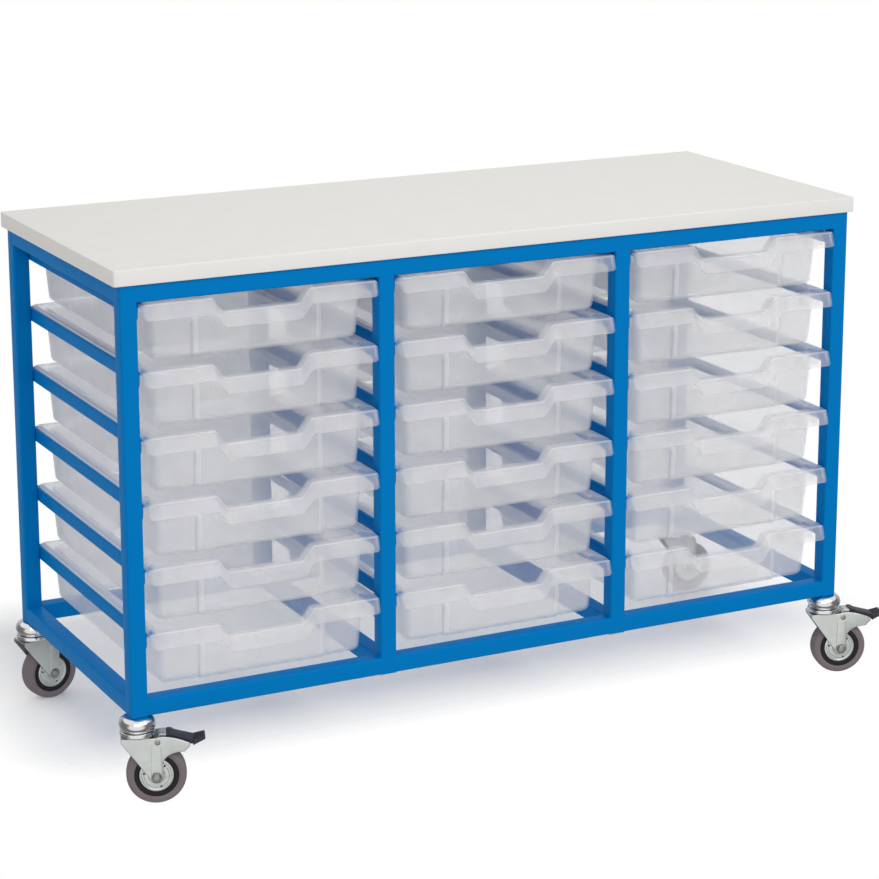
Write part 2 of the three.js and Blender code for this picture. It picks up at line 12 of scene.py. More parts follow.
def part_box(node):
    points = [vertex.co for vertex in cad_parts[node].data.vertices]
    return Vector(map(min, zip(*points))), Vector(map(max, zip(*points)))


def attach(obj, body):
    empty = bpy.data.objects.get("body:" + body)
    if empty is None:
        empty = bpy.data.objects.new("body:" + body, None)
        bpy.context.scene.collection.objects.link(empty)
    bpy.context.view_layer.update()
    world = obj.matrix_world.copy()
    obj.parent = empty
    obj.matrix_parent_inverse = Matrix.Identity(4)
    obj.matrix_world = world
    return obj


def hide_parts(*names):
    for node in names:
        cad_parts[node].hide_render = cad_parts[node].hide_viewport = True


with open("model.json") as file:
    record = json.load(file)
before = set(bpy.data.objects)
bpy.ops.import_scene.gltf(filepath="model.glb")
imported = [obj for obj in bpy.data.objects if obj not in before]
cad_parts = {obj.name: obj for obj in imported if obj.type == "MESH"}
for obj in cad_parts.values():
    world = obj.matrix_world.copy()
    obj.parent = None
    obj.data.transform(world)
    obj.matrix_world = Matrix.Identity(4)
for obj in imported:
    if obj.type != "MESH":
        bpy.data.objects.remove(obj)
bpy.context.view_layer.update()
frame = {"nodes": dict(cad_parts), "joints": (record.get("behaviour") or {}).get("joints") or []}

bl_info = {
    "name": "Classroom Tray Storage Unit",
    "version": (1, 0, 0),
    "blender": (4, 5, 0),
    "location": "3D View > Sidebar > Tray Unit",
    "description": "Dresses a tube framed tray storage unit with its finishes and fine shapes",
    "category": "Object",
}

MM = 0.001

# Places and sizes that the frame gives
CORNER_LOW, CORNER_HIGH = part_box("side_frame_left")
RAIL_LOW, RAIL_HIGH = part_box("front_bottom_rail_left")
FRONT, BACK = CORNER_LOW.y, CORNER_HIGH.y
FOOT, TOP = CORNER_LOW.z, CORNER_HIGH.z
TUBE = RAIL_HIGH.z - RAIL_LOW.z
BAY = RAIL_HIGH.x - RAIL_LOW.x
POST_PITCH = BAY + TUBE
COLUMNS = ("left", "middle", "right")
SIDE_FRAMES = ("left", "inner_left", "inner_right", "right")
POSTS = [CORNER_LOW.x + TUBE / 2 + place * POST_PITCH for place in range(len(SIDE_FRAMES))]
LEVELS = sum(name.startswith("tray_left_") for name in frame["nodes"])
TRAY_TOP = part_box("tray_left_1")[1].z
LEVEL_PITCH = TRAY_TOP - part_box("tray_left_2")[1].z
JOINTS = {joint["name"]: joint for joint in frame["joints"]}
CASTORS = [name[len("castor_"):-len("_swivel")] for name in JOINTS if name.endswith("_swivel")]
BRAKED = [name for name in CASTORS if f"pedal_{name}_press" in JOINTS]
MIDDLE = Vector((sum(POSTS) / len(POSTS), (FRONT + BACK) / 2, 0))

# Finishes
GRAIN = (0.3, 0.7)  # where most values of a noise pattern lie
MIX_LOW, MIX_HIGH, MIX_RESULT = 6, 7, 2  # a Mix node's sockets for colours
MILK_IN_LIGHT = 0.15  # share of a tray's milkiness that light meets on its way to other surfaces

# Weld beads
BEAD_STEP = 0.9 * MM
BEAD_SIDES = 8
BEAD_GRAIN = 420
BEAD_WAVE = 0.12
BEAD_UNEVEN = (0.75, 1.25)

# Points of a tray's outline counted from its front: round the corner, past the lip's end, along the side
CORNER_STEPS = 8
CORNER_END = CORNER_STEPS + 1
LIP_END = CORNER_END + 2
SIDE_END = LIP_END + 3
QUARTERS = (0.25, 0.5, 0.75)

# Rings of a tray: angles of its bends in degrees, and shares of its wall's and its lip's height
FOOT_ANGLES = (0, 25, 50, 75)
WALL_PARTS = (0, 0.12, 0.25, 0.38, 0.5, 0.6, 0.7, 0.8, 0.9, 1)
BEND_ANGLES = (30, 60, 90)
LIP_PARTS = (0.3, 0.65, 1.0)

# Small sizes
SHY = 0.05 * MM  # keeps two faces from falling together
PANEL_EASE = 1 * MM  # half the width of the step at the label panel's edges
PANEL_SLOPE = 4 * MM  # height of the slope at the label panel's top
DROOP_FADE = 0.45  # share of the lip's droop that is lost at each point past the corner
RIBS = 3  # on each side of a tray's lip
RIDGES = 7  # on a brake pedal's tread
RIDGE_PITCH = 3 * MM
ROUND = 96  # steps round a wheel
BEYOND = 0.1  # past any side of a castor, for cutting

# Softboxes, each a place and a size in metres, and the point that they face
KEY_BOX = ((0.9, -2.6, 3.2), 2.6)
FILL_BOX = ((-1.5, -3.1, 2.3), 2.4)
BACK_BOX = ((1.4, 2.8, 2.8), 2.4)
LIGHT_AIM = Vector((0, 0, 0.35))

# Screens that polished metal shows: how far along the view they start and end, and how high they reach
NEAR_SCREEN = (-0.8, -0.5)
FAR_SCREEN = (0.3, 0.9)
FAR_SHARE = 0.5
SCREEN_TOP = (0.6, 0.45)


def linear(red, green, blue):
    """A colour written as 8 bit display values, as Blender's own linear ones."""
    shares = [value / 255 for value in (red, green, blue)]
    return tuple(((c + 0.055) / 1.055) ** 2.4 if c > 0.04045 else c / 12.92 for c in shares)


def length(name, description, default):
    """A size property in metres, with its default in millimetres."""
    return FloatProperty(name=name, description=description, default=default * MM, min=0, unit="LENGTH",
                         precision=4)


def share(name, description, default):
    """A property between nothing and all."""
    return FloatProperty(name=name, description=description, default=default, min=0, max=1)


def milky(part, default):
    """A property for how milky a part of a tray is."""
    return share(f"Milky {part}", f"How much of what lies behind the {part} is hidden", default)


def amount(name, description, default, unit="NONE"):
    """A property from nothing upwards, such as a light's power."""
    return FloatProperty(name=name, description=description, default=default, min=0, unit=unit)


def rotation(name, description, default):
    """An angle property in radians."""
    return FloatProperty(name=name, description=description, default=default, subtype="ANGLE",
                         unit="ROTATION")


def colour(name, description, *values):
    """A colour property with its default as display values."""
    return FloatVectorProperty(name=name, description=description, default=linear(*values), min=0, max=1,
                               subtype="COLOR")


class FrameLook(bpy.types.PropertyGroup):
    """Sizes and colour of the welded steel."""
    coat: colour("Coat", "Colour of the powder coat", 0, 121, 193)
    corner: length("Tube corner", "Outside radius of the square tube's corners", 2.5)
    wall: length("Tube wall", "Thickness of the tube's wall", 1.5)
    runner_height: length("Runner height", "Height of a runner's web", 16)
    runner_ledge: length("Runner ledge", "Width of the ledge that a tray rests on", 13)
    runner_sheet: length("Runner sheet", "Thickness of a runner's sheet", 2)
    runner_fold: length("Runner fold", "Outside radius of a runner's fold", 2.4)
    runner_inset: length("Runner inset", "Distance of a runner's ends behind the posts' faces", 4)
    rest_gap: length("Rest gap", "Drop from a tray's flange top to its runner", 2.8)
    bead: length("Weld bead", "Radius of a weld bead", 1.3)
    ripple: length("Weld ripple", "Distance between two ripples of a weld bead", 2.2)
    cap_drop: length("Cap drop", "How far an end cap stands below its post", 3.2)
    cap: colour("End cap", "Colour of the inner posts' end caps", 206, 212, 214)
    screw: length("Screw head", "Radius of the worktop screws' heads", 4)
    screw_spread: share("Screw spread", "Share of the frame's depth between the rows of screws", 0.6)


class WorktopLook(bpy.types.PropertyGroup):
    """Sizes and colours of the worktop board."""
    laminate: colour("Laminate", "Colour of the laminate", 225, 223, 218)
    band: colour("Edge band", "Colour of the edge band", 236, 234, 230)
    band_thickness: length("Band thickness", "Thickness of the edge band", 2)
    corner: length("Corner", "Radius of the board's corners in plan", 4)
    ease: length("Ease", "Radius of the band's eased edges", 1)
    seam: length("Seam", "Width of the glue line between board and band", 0.12)


class TrayLook(bpy.types.PropertyGroup):
    """Sizes and colour of a moulded tray."""
    plastic: colour("Plastic", "Colour of the frosted plastic", 228, 227, 228)
    sides: milky("side walls", 0.23)
    front: milky("front wall", 0.32)
    back: milky("back wall", 0.62)
    floor: milky("floor", 0.25)
    flange: milky("side and rear flanges", 0.45)
    rim: milky("edge of those flanges", 0.75)
    lip: milky("lip", 0.2)
    edges: milky("front rim and the panel's edges", 0.44)
    wall: length("Wall", "Thickness of the moulding", 2.2)
    draft: length("Draft", "How far each wall leans in towards its foot", 5)
    corner: length("Corner", "Outside radius of the tray's upright corners", 10)
    foot: length("Foot", "Inside radius between wall and floor", 6)
    overhang: length("Overhang", "Reach of the flange past the walls", 14)
    flange_corner: length("Flange corner", "Radius of the flange's rear corners", 10)
    lip_corner: length("Lip corner", "Radius of the flange's front corners", 5)
    lip_return: length("Lip return", "Reach of the lip round its corners", 3)
    lip_droop: length("Lip droop", "How far the rim is rounded off at the lip's ends", 1.6)
    lip_taper: share("Lip taper", "How much narrower the lip is at its lower edge", 0.008)
    lip_cut: share("Lip cut", "How much of the lip's height is cut off at its ends", 0.2)
    bend: length("Bend", "Radius of the flange's bends", 2.4)
    lip_reach: length("Lip reach", "Reach of the front lip past the front wall", 16)
    lip_lean: length("Lip lean", "How far the lip's lower edge stands forward", 7)
    lip_height: length("Lip height", "Height of the front lip", 19)
    scoop_top: length("Scoop top", "Width of the hand scoop at the rim", 133)
    scoop_floor: length("Scoop floor", "Width of the hand scoop at its floor", 96)
    scoop_dip: length("Scoop dip", "Depth of the hand scoop", 18)
    panel: length("Panel", "Width of the raised label panel", 168)
    panel_step: length("Panel step", "How far the label panel stands proud", 4)
    panel_drop: length("Panel drop", "Distance of the label panel below the rim", 26)
    panel_edge: length("Panel edge", "Width of the label panel's thick edges", 5)
    rib: length("Rib", "Thickness of the ribs behind the lip", 1.4)
    rib_place: length("Rib place", "Distance of the innermost ribs from the tray's middle", 87)
    rib_pitch: length("Rib pitch", "Distance between two ribs", 25)


class CastorLook(bpy.types.PropertyGroup):
    """Sizes and colours of the castors."""
    zinc: colour("Zinc", "Colour of the zinc plate", 204, 208, 204)
    bolt: colour("Bolt", "Colour of the bolts and nuts", 158, 158, 152)
    chrome: colour("Chrome", "Colour of the chrome plate", 222, 222, 224)
    rubber: colour("Rubber", "Colour of the tyres", 122, 111, 115)
    black: colour("Black plastic", "Colour of the wheel centres", 30, 25, 28)
    pedal: colour("Pedal plastic", "Colour of the brake pedals", 56, 54, 63)
    head: length("Head", "Radius of the domed head", 23.4)
    head_drop: length("Head drop", "Height of the head with its race", 25.5)
    head_lip: share("Head lip", "Height of the domed cover as a share of the head's", 0.66)
    king_pin: length("King pin", "Radius of the king pin", 6)
    gap: length("Running gap", "Gap between a castor's head and its fork", 0.3)
    sheet: length("Fork sheet", "Thickness of the fork's sheet", 2.5)
    fork_inner: length("Fork inner width", "Clear width between the fork's legs", 28)
    crown: length("Crown reach", "Reach of the fork's crown from the swivel axis", 21)
    leg: length("Leg radius", "Radius of the fork's leg round the axle", 8.2)
    arm: length("Arm reach", "Reach of a braked fork's arms", 64)
    wheel: length("Wheel", "Radius of the wheel", 37.5)
    tyre: length("Tyre width", "Width of the tyre", 23)
    rim: length("Rim", "Outside radius of the black wheel centre", 27.6)
    disc: length("Disc", "Radius of the zinc hub disc", 22)
    axle_end: length("Axle end", "Reach of the axle bolt's end from the wheel's middle", 22.4)


class StageLook(bpy.types.PropertyGroup):
    """Camera, floor and light."""
    camera: FloatVectorProperty(name="Camera", description="Camera place from the left post's front foot",
                                default=(-1.0899, -2.9916, 1.2315), subtype="TRANSLATION", unit="LENGTH")
    turn: rotation("Turn", "Turn of the camera about the upright", -0.4738)
    tilt: rotation("Tilt", "Tilt of the camera below the level", 0.2382)
    lens: FloatProperty(name="Lens", description="Focal length in millimetres", default=112.15, min=1)
    shift: FloatVectorProperty(name="Shift", description="Shift of the lens", default=(-0.0162, -0.1), size=2)
    floor: colour("Floor", "Colour of the floor", 240, 240, 241)
    floor_right: length("Floor right", "Distance of the floor's middle to the right of the unit's", 60)
    floor_lift: amount("Floor lift", "Brightness that the camera sees beside the light", 0.06)
    floor_back: length("Floor back", "Distance of the floor's middle behind the unit's front", 460)
    floor_width: length("Floor width", "Width of the floor's even part", 1060)
    floor_depth: length("Floor depth", "Depth of the floor's even part", 440)
    floor_fade: length("Floor fade", "Width of the strip where the floor fades into white", 150)
    sky: amount("Sky", "Strength of the light from all round", 0.66)
    dim: share("Dim screens", "Brightness of the screens that polished metal shows", 0.2)
    key: amount("Key", "Power of the main softbox", 46, "POWER")
    fill: amount("Fill", "Power of each of the two filling softboxes", 16, "POWER")


class Nodes:
    """A node tree under construction."""

    def __init__(self, tree):
        self.tree = tree

    def add(self, kind, links=None, **values):
        """A node with its own values set, and its inputs linked or set."""
        node = self.tree.nodes.new(kind)
        for name, value in values.items():
            setattr(node, name, value)
        for socket, source in (links or {}).items():
            if isinstance(source, bpy.types.NodeSocket):
                self.tree.links.new(source, node.inputs[socket])
            else:
                node.inputs[socket].default_value = source
        return node

    def first(self, kind, links=None, **values):
        """The first output of such a node."""
        return self.add(kind, links, **values).outputs[0]

    def maths(self, operation, *values):
        """The result of a sum on numbers."""
        return self.first("ShaderNodeMath", dict(enumerate(values)), operation=operation)

    def vectors(self, operation, *values):
        """The result of a sum on vectors: a number for a length or a dot product, or else a vector."""
        node = self.add("ShaderNodeVectorMath", dict(enumerate(values)), operation=operation)
        return node.outputs["Value" if operation in ("LENGTH", "DOT_PRODUCT") else "Vector"]

    def spread(self, source, low, high, start=0, end=1):
        """Values from start to end turned into those from low to high, and held there past both."""
        links = {"Value": source, "From Min": start, "From Max": end, "To Min": low, "To Max": high}
        return self.first("ShaderNodeMapRange", links)


class Finish(Nodes):
    """A procedural material, built node by node."""

    def __init__(self, name, base, roughness, metallic=0.0):
        self.material = bpy.data.materials.new(name)
        self.material.use_nodes = True
        super().__init__(self.material.node_tree)
        self.shader = self.tree.nodes["Principled BSDF"]
        self.base = tuple(base)
        self.set("Base Color", (*base, 1.0))
        self.set("Roughness", roughness)
        self.set("Metallic", metallic)
        self.place = self.add("ShaderNodeTexCoord").outputs["Object"]

    def set(self, socket, value):
        """Puts a constant on one of the shader's own sockets."""
        self.shader.inputs[socket].default_value = value

    def vary(self, socket, source):
        """Drives one of the shader's sockets with a pattern."""
        self.tree.links.new(source, self.shader.inputs[socket])

    def noise(self, scale, detail=3.0, stretch=(1, 1, 1)):
        """A cloudy pattern, with its grains drawn out along an axis if asked."""
        place = self.place
        if stretch != (1, 1, 1):
            place = self.first("ShaderNodeMapping", {"Vector": place, "Scale": stretch})
        return self.first("ShaderNodeTexNoise", {"Vector": place, "Scale": scale, "Detail": detail})

    def vary_colour(self, pattern, darker, lighter):
        """Lets the base colour wander between two multiples of itself."""
        low, high = ([*(min(1.0, c * times) for c in self.base), 1.0] for times in (darker, lighter))
        mix = self.add("ShaderNodeMix", {"Factor": pattern, MIX_LOW: low, MIX_HIGH: high}, data_type="RGBA")
        self.vary("Base Color", mix.outputs[MIX_RESULT])

    def roughen(self, pattern, low, high):
        """Lets the roughness wander between two values."""
        self.vary("Roughness", self.spread(pattern, low, high, *GRAIN))

    def bump(self, *layers):
        """Lays relief on the surface, each layer a pattern with its strength and height."""
        normal = None
        for pattern, strength, height in layers:
            links = {"Height": pattern, "Strength": strength, "Distance": height}
            if normal:
                links["Normal"] = normal
            normal = self.first("ShaderNodeBump", links)
        self.vary("Normal", normal)


def blue_coat(base):
    """Semi-gloss powder coat, with its fine orange peel and slight clouding."""
    finish = Finish("Blue powder coat", base, 0.34)
    finish.set("Specular IOR Level", 0.03)
    finish.vary_colour(finish.noise(9, 4), 0.97, 1.03)
    finish.roughen(finish.noise(55, 5), 0.30, 0.40)
    finish.bump((finish.noise(420, 2), 0.05, 0.0003), (finish.noise(1300, 1), 0.04, 0.0001))
    return finish.material


def laminate(base):
    """Matt laminate with a fine pearl fleck."""
    finish = Finish("White laminate", base, 0.46)
    finish.vary_colour(finish.spread(finish.noise(1500, 2), 0, 1, 0.35, 0.65), 0.965, 1.02)
    finish.roughen(finish.noise(24, 5), 0.40, 0.54)
    finish.bump((finish.noise(900, 3), 0.08, 0.0002))
    return finish.material


def edge_band(base):
    """Extruded edge band, with faint draw lines along its length."""
    finish = Finish("Edge band", base, 0.4)
    finish.vary_colour(finish.noise(30, 3), 0.97, 1.01)
    lines = finish.noise(60, 3, (0.4, 0.4, 40))
    finish.roughen(lines, 0.34, 0.46)
    finish.bump((lines, 0.05, 0.0002))
    return finish.material


def frosted_plastic(base):
    """Frosted translucent moulding, as milky as its mesh says, with flow marks and a sparked texture."""
    finish = Finish("Frosted plastic", base, 0.4)
    finish.set("Subsurface Weight", 0.85)
    finish.set("Subsurface Radius", (1, 1, 1))
    finish.set("Subsurface Scale", 0.006)
    finish.vary_colour(finish.noise(14, 3), 0.97, 1.02)
    milk = finish.add("ShaderNodeAttribute", attribute_name="milk").outputs["Fac"]
    flow = finish.spread(finish.noise(18, 3, (1, 0.35, 1)), -0.03, 0.03, *GRAIN)
    path = finish.add("ShaderNodeLightPath").outputs
    light = finish.maths("MAXIMUM", path["Is Shadow Ray"], path["Is Diffuse Ray"])
    held_back = finish.spread(light, 1, MILK_IN_LIGHT)
    finish.vary("Alpha", finish.maths("MULTIPLY", finish.maths("ADD", milk, flow), held_back))
    finish.roughen(finish.noise(70, 4), 0.30, 0.46)
    finish.bump((finish.noise(700, 2), 0.06, 0.0002))
    return finish.material


def zinc_plate(base, name="Zinc plate"):
    """Bright zinc plate with a soft spangle and rolling marks."""
    finish = Finish(name, base, 0.36, 1.0)
    finish.vary_colour(finish.noise(60, 4), 0.86, 1.06)
    marks = finish.noise(180, 4, (0.25, 1, 1))
    finish.roughen(marks, 0.30, 0.46)
    finish.bump((marks, 0.05, 0.0002), (finish.noise(600, 2), 0.04, 0.0001))
    return finish.material


def chrome_plate(base):
    """Polished chrome with faint handling haze."""
    finish = Finish("Chrome plate", base, 0.07, 1.0)
    finish.vary_colour(finish.noise(40, 3), 0.95, 1.03)
    finish.roughen(finish.noise(90, 5), 0.04, 0.13)
    return finish.material


def grey_rubber(base):
    """Grey non-marking rubber, dusty on its tread."""
    finish = Finish("Grey rubber", base, 0.72)
    finish.vary_colour(finish.noise(75, 5), 0.84, 1.10)
    finish.roughen(finish.noise(120, 4), 0.62, 0.84)
    finish.bump((finish.noise(420, 4), 0.18, 0.0003))
    return finish.material


def satin_plastic(name, base):
    """Moulded plastic with a sparked texture."""
    finish = Finish(name, base, 0.45)
    finish.set("Specular IOR Level", 0.25)
    finish.vary_colour(finish.noise(90, 4), 0.88, 1.12)
    finish.roughen(finish.noise(150, 4), 0.38, 0.56)
    finish.bump((finish.noise(900, 2), 0.12, 0.0002))
    return finish.material


FINISHES = {}


def finish_of(name, build, *values):
    """A finish by name, made the first time that it is asked for."""
    if name not in FINISHES:
        FINISHES[name] = build(*values)
    return FINISHES[name]


def mesh_of(points, faces, name="piece"):
    """A mesh from points and faces, with doubles merged and normals out."""
    mesh = bpy.data.meshes.new(name)
    mesh.from_pydata([tuple(point) for point in points], [], faces)
    tidied(mesh)
    return mesh


def tidied(mesh, outwards=True):
    """Merges a mesh's doubles and, for a closed one, turns its normals outwards."""
    body = bmesh.new()
    body.from_mesh(mesh)
    bmesh.ops.remove_doubles(body, verts=body.verts, dist=1e-7)
    bmesh.ops.dissolve_degenerate(body, edges=body.edges, dist=1e-8)
    if outwards:
        bmesh.ops.recalc_face_normals(body, faces=body.faces)
    body.to_mesh(mesh)
    body.free()
    return mesh


def ring_faces(rings):
    """The faces that join each ring to the next, for rings of equal point counts."""
    count = len(rings[0])
    faces = []
    for start in range(0, (len(rings) - 1) * count, count):
        for i in range(count):
            here, following = start + i, start + (i + 1) % count
            faces.append((here, following, following + count, here + count))
    return faces


def skin(rings, caps=True):
    """A mesh through rings of equal point counts, with its ends closed if asked."""
    faces = ring_faces(rings)
    points = [point for ring in rings for point in ring]
    if caps:
        count = len(rings[0])
        faces.append(tuple(reversed(range(count))))
        faces.append(tuple(range(len(points) - count, len(points))))
    return mesh_of(points, faces)


def turned(profile, steps=64):
    """A profile of (radius, height) pairs revolved about Z; a profile off the axis closes on itself."""
    on_axis = profile[0][0] == 0 and profile[-1][0] == 0
    line = profile if on_axis else [*profile, profile[0]]
    angles = [2 * math.pi * step / steps for step in range(steps)]
    rings = [[(r * math.cos(a), r * math.sin(a), z) for a in angles] for r, z in line]
    return skin(rings, caps=False)


def merged(meshes):
    """Several meshes as one."""
    body = bmesh.new()
    for mesh in meshes:
        body.from_mesh(mesh)
        bpy.data.meshes.remove(mesh)
    result = bpy.data.meshes.new("piece")
    body.to_mesh(result)
    body.free()
    return result


def moved(mesh, matrix):
    """A mesh after a move or turn."""
    mesh.transform(matrix)
    return mesh


def arc(centre, radius, start, end, steps):
    """Points on an arc, with its angles in degrees."""
    angles = [math.radians(start + (end - start) * step / steps) for step in range(steps + 1)]
    return [(centre[0] + radius * math.cos(a), centre[1] + radius * math.sin(a)) for a in angles]


def bend(start, control, end, steps=14):
    """Points on a quadratic curve, without its first."""
    shares = [(step + 1) / steps for step in range(steps)]
    return [tuple((1 - t) ** 2 * a + 2 * t * (1 - t) * b + t * t * c for a, b, c in zip(start, control, end))
            for t in shares]


def points_from(origin, *offsets):
    """Points given by their offsets in millimetres from another."""
    return [(origin[0] + x * MM, origin[1] + y * MM) for x, y in offsets]


def both_sides(half_profile):
    """A profile with its mirror image below it."""
    return half_profile + [(radius, -height) for radius, height in reversed(half_profile)]


def clamped(value):
    """A value held between nothing and all."""
    return min(max(value, 0), 1)


def rounded_square(half, radius, steps=5):
    """A square outline with round corners, counter-clockwise."""
    flat = half - radius
    corners = ((flat, flat, 0), (-flat, flat, 90), (-flat, -flat, 180), (flat, -flat, 270))
    return [point for x, y, start in corners for point in arc((x, y), radius, start, start + 90, steps)]


def pressed(outline, width, ease, steps=3):
    """An outline in the X-Z plane, given a width across Y and eased edges."""
    body = bmesh.new()
    near = body.faces.new([body.verts.new((x, -width / 2, z)) for x, z in outline])
    rims = list(near.edges)
    swept = bmesh.ops.extrude_face_region(body, geom=[near])
    far = [item for item in swept["geom"] if isinstance(item, bmesh.types.BMVert)]
    bmesh.ops.translate(body, verts=far, vec=(0, width, 0))
    rims += [item for item in swept["geom"] if isinstance(item, bmesh.types.BMEdge)]
    bmesh.ops.recalc_face_normals(body, faces=body.faces)
    if ease:
        bmesh.ops.bevel(body, geom=rims, offset=ease, segments=steps, profile=0.5, affect="EDGES",
                        clamp_overlap=True)
    mesh = bpy.data.meshes.new("piece")
    body.to_mesh(mesh)
    body.free()
    return tidied(mesh)


def held(mesh):
    """An object that holds a mesh while modifiers work on it."""
    holder = bpy.data.objects.new("held", mesh)
    bpy.context.scene.collection.objects.link(holder)
    return holder


def baked(holder):
    """The plain mesh that an object's modifiers make; the object goes."""
    depsgraph = bpy.context.evaluated_depsgraph_get()
    result = bpy.data.meshes.new_from_object(holder.evaluated_get(depsgraph))
    holder.modifiers.clear()
    bpy.data.objects.remove(holder)
    return result


def carved(mesh, cutters):
    """A closed mesh with others cut out of it."""
    holder = held(mesh)
    tools = [held(cutter) for cutter in cutters]
    for tool in tools:
        cut = holder.modifiers.new("Cut", "BOOLEAN")
        cut.operation = "DIFFERENCE"
        cut.solver = "EXACT"
        cut.object = tool
    result = baked(holder)
    for tool in tools:
        bpy.data.objects.remove(tool)
    return tidied(result)


def block(low, high):
    """A plain box between two corners, for cutting with."""
    (x0, y0, z0), (x1, y1, z1) = low, high
    rings = [[(x0, y0, z), (x1, y0, z), (x1, y1, z), (x0, y1, z)] for z in (z0, z1)]
    return skin(rings)


def smooth(mesh, angle=32):
    """Shades a mesh smooth, with edges sharper than the angle kept crisp."""
    mesh.shade_smooth()
    mesh.set_sharp_from_angle(angle=math.radians(angle))
    return mesh


def add_piece(name, mesh, material, body, slot, *nodes):
    """A finished piece: its finish, the body it rides on and the nodes it stands for; the slot is not used.
    """
    mesh.name = name
    mesh.materials.clear()
    mesh.materials.append(material)
    piece = bpy.data.objects.new(name, mesh)
    bpy.context.scene.collection.objects.link(piece)
    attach(piece, body)
    if nodes:
        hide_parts(*nodes)
    return piece


class Growth(Nodes):
    """A Geometry Nodes tree under construction."""

    def __init__(self, name, **inputs):
        super().__init__(bpy.data.node_groups.new(name, "GeometryNodeTree"))
        face = self.tree.interface
        face.new_socket(name="Geometry", in_out="INPUT", socket_type="NodeSocketGeometry")
        for label, kind in inputs.items():
            face.new_socket(name=label, in_out="INPUT", socket_type=f"NodeSocket{kind}")
        face.new_socket(name="Material", in_out="INPUT", socket_type="NodeSocketMaterial")
        face.new_socket(name="Geometry", in_out="OUTPUT", socket_type="NodeSocketGeometry")
        self.inputs = self.add("NodeGroupInput").outputs

    def copies(self, points):
        """Copies of the seed on points."""
        links = {"Points": points, "Instance": self.inputs["Geometry"]}
        return self.first("GeometryNodeInstanceOnPoints", links)

    def close(self, geometry):
        """Realizes the instances, gives them their finish and ends the tree."""
        real = self.first("GeometryNodeRealizeInstances", {"Geometry": geometry})
        done = self.first("GeometryNodeSetMaterial", {"Geometry": real, "Material": self.inputs["Material"]})
        self.add("NodeGroupOutput", {"Geometry": done})
        return self.tree


def grown(tree, seed, **values):
    """The plain mesh that a tree makes of a seed mesh."""
    holder = held(seed)
    modifier = holder.modifiers.new("Growth", "NODES")
    modifier.node_group = tree
    for item in tree.interface.items_tree:
        if item.in_out == "INPUT" and item.name in values:
            modifier[item.identifier] = values[item.name]
    return baked(holder)


@cache
def row_tree():
    """Copies of the seed along a line."""
    growth = Growth("Row of copies", Count="Int", Start="Vector", Step="Vector")
    given = growth.inputs
    links = {"Count": given["Count"], "Start Location": given["Start"], "Offset": given["Step"]}
    line = growth.first("GeometryNodeMeshLine", links, mode="OFFSET")
    return growth.close(growth.copies(line))


@cache
def grid_tree():
    """Copies of the seed on a level grid."""
    growth = Growth("Grid of copies", Middle="Vector", Width="Float", Depth="Float", Columns="Int",
                    Rows="Int")
    given = growth.inputs
    links = {"Size X": given["Width"], "Size Y": given["Depth"], "Vertices X": given["Columns"],
             "Vertices Y": given["Rows"]}
    grid = growth.first("GeometryNodeMeshGrid", links)
    placed = growth.first("GeometryNodeTransform", {"Geometry": grid, "Translation": given["Middle"]})
    return growth.close(growth.copies(placed))


@cache
def bead_tree():
    """Rippled weld beads along the seed's edges."""
    growth = Growth("Weld beads", Radius="Float", Ripple="Float", Seed="Float")
    given = growth.inputs
    curve = growth.first("GeometryNodeMeshToCurve", {"Mesh": given["Geometry"]})
    finer = growth.first("GeometryNodeResampleCurve", {"Curve": curve, "Length": BEAD_STEP}, mode="LENGTH")
    along = growth.add("GeometryNodeSplineParameter").outputs["Length"]
    turns = growth.maths("DIVIDE", along, given["Ripple"])
    wave = growth.maths("SINE", growth.maths("MULTIPLY", turns, 2 * math.pi))
    links = {"Scale": BEAD_GRAIN, "W": given["Seed"]}
    noise = growth.first("ShaderNodeTexNoise", links, noise_dimensions="4D")
    swell = growth.maths("MULTIPLY_ADD", wave, BEAD_WAVE, growth.spread(noise, *BEAD_UNEVEN))
    size = growth.maths("MULTIPLY", swell, given["Radius"])
    links = {"Resolution": BEAD_SIDES, "Radius": 1}
    ring = growth.first("GeometryNodeCurvePrimitiveCircle", links, mode="RADIUS")
    links = {"Curve": finer, "Profile Curve": ring, "Scale": size, "Fill Caps": True}
    return growth.close(growth.first("GeometryNodeCurveToMesh", links))


def tube(look, start, end):
    """A length of square tube with an open bore, from one point to another along an axis."""
    start, end = Vector(start), Vector(end)
    half = TUBE / 2
    outside = rounded_square(half, look.corner)
    inside = rounded_square(half - look.wall, look.corner - look.wall)
    reach = (end - start).length
    order = ((outside, 0), (outside, reach), (inside, reach), (inside, 0), (outside, 0))
    mesh = skin([[(x, y, z) for x, y in ring] for ring, z in order], caps=False)
    turn = (end - start).to_track_quat("Z", "Y").to_matrix().to_4x4()
    return moved(mesh, Matrix.Translation(start) @ turn)


def runner(look, side):
    """The top runner of a side frame, folded from sheet, on the face at x = 0."""
    fold, sheet = look.runner_fold, look.runner_sheet
    ledge, height = look.runner_ledge, look.runner_height
    tight = fold - sheet
    outline = [(0, -height), *reversed(arc((fold, -fold), fold, 90, 180, 5)), (ledge, 0), (ledge, -sheet),
               *arc((fold, -fold), tight, 90, 180, 4), (sheet, -height)]
    rows = [[(side * x, y, z) for x, z in outline]
            for y in (FRONT + look.runner_inset, BACK - look.runner_inset)]
    return skin(rows)


def weld_path(*points):
    """A path of straight edges for a weld bead to follow."""
    mesh = bpy.data.meshes.new("path")
    mesh.from_pydata(points, [(i, i + 1) for i in range(len(points) - 1)], [])
    return mesh


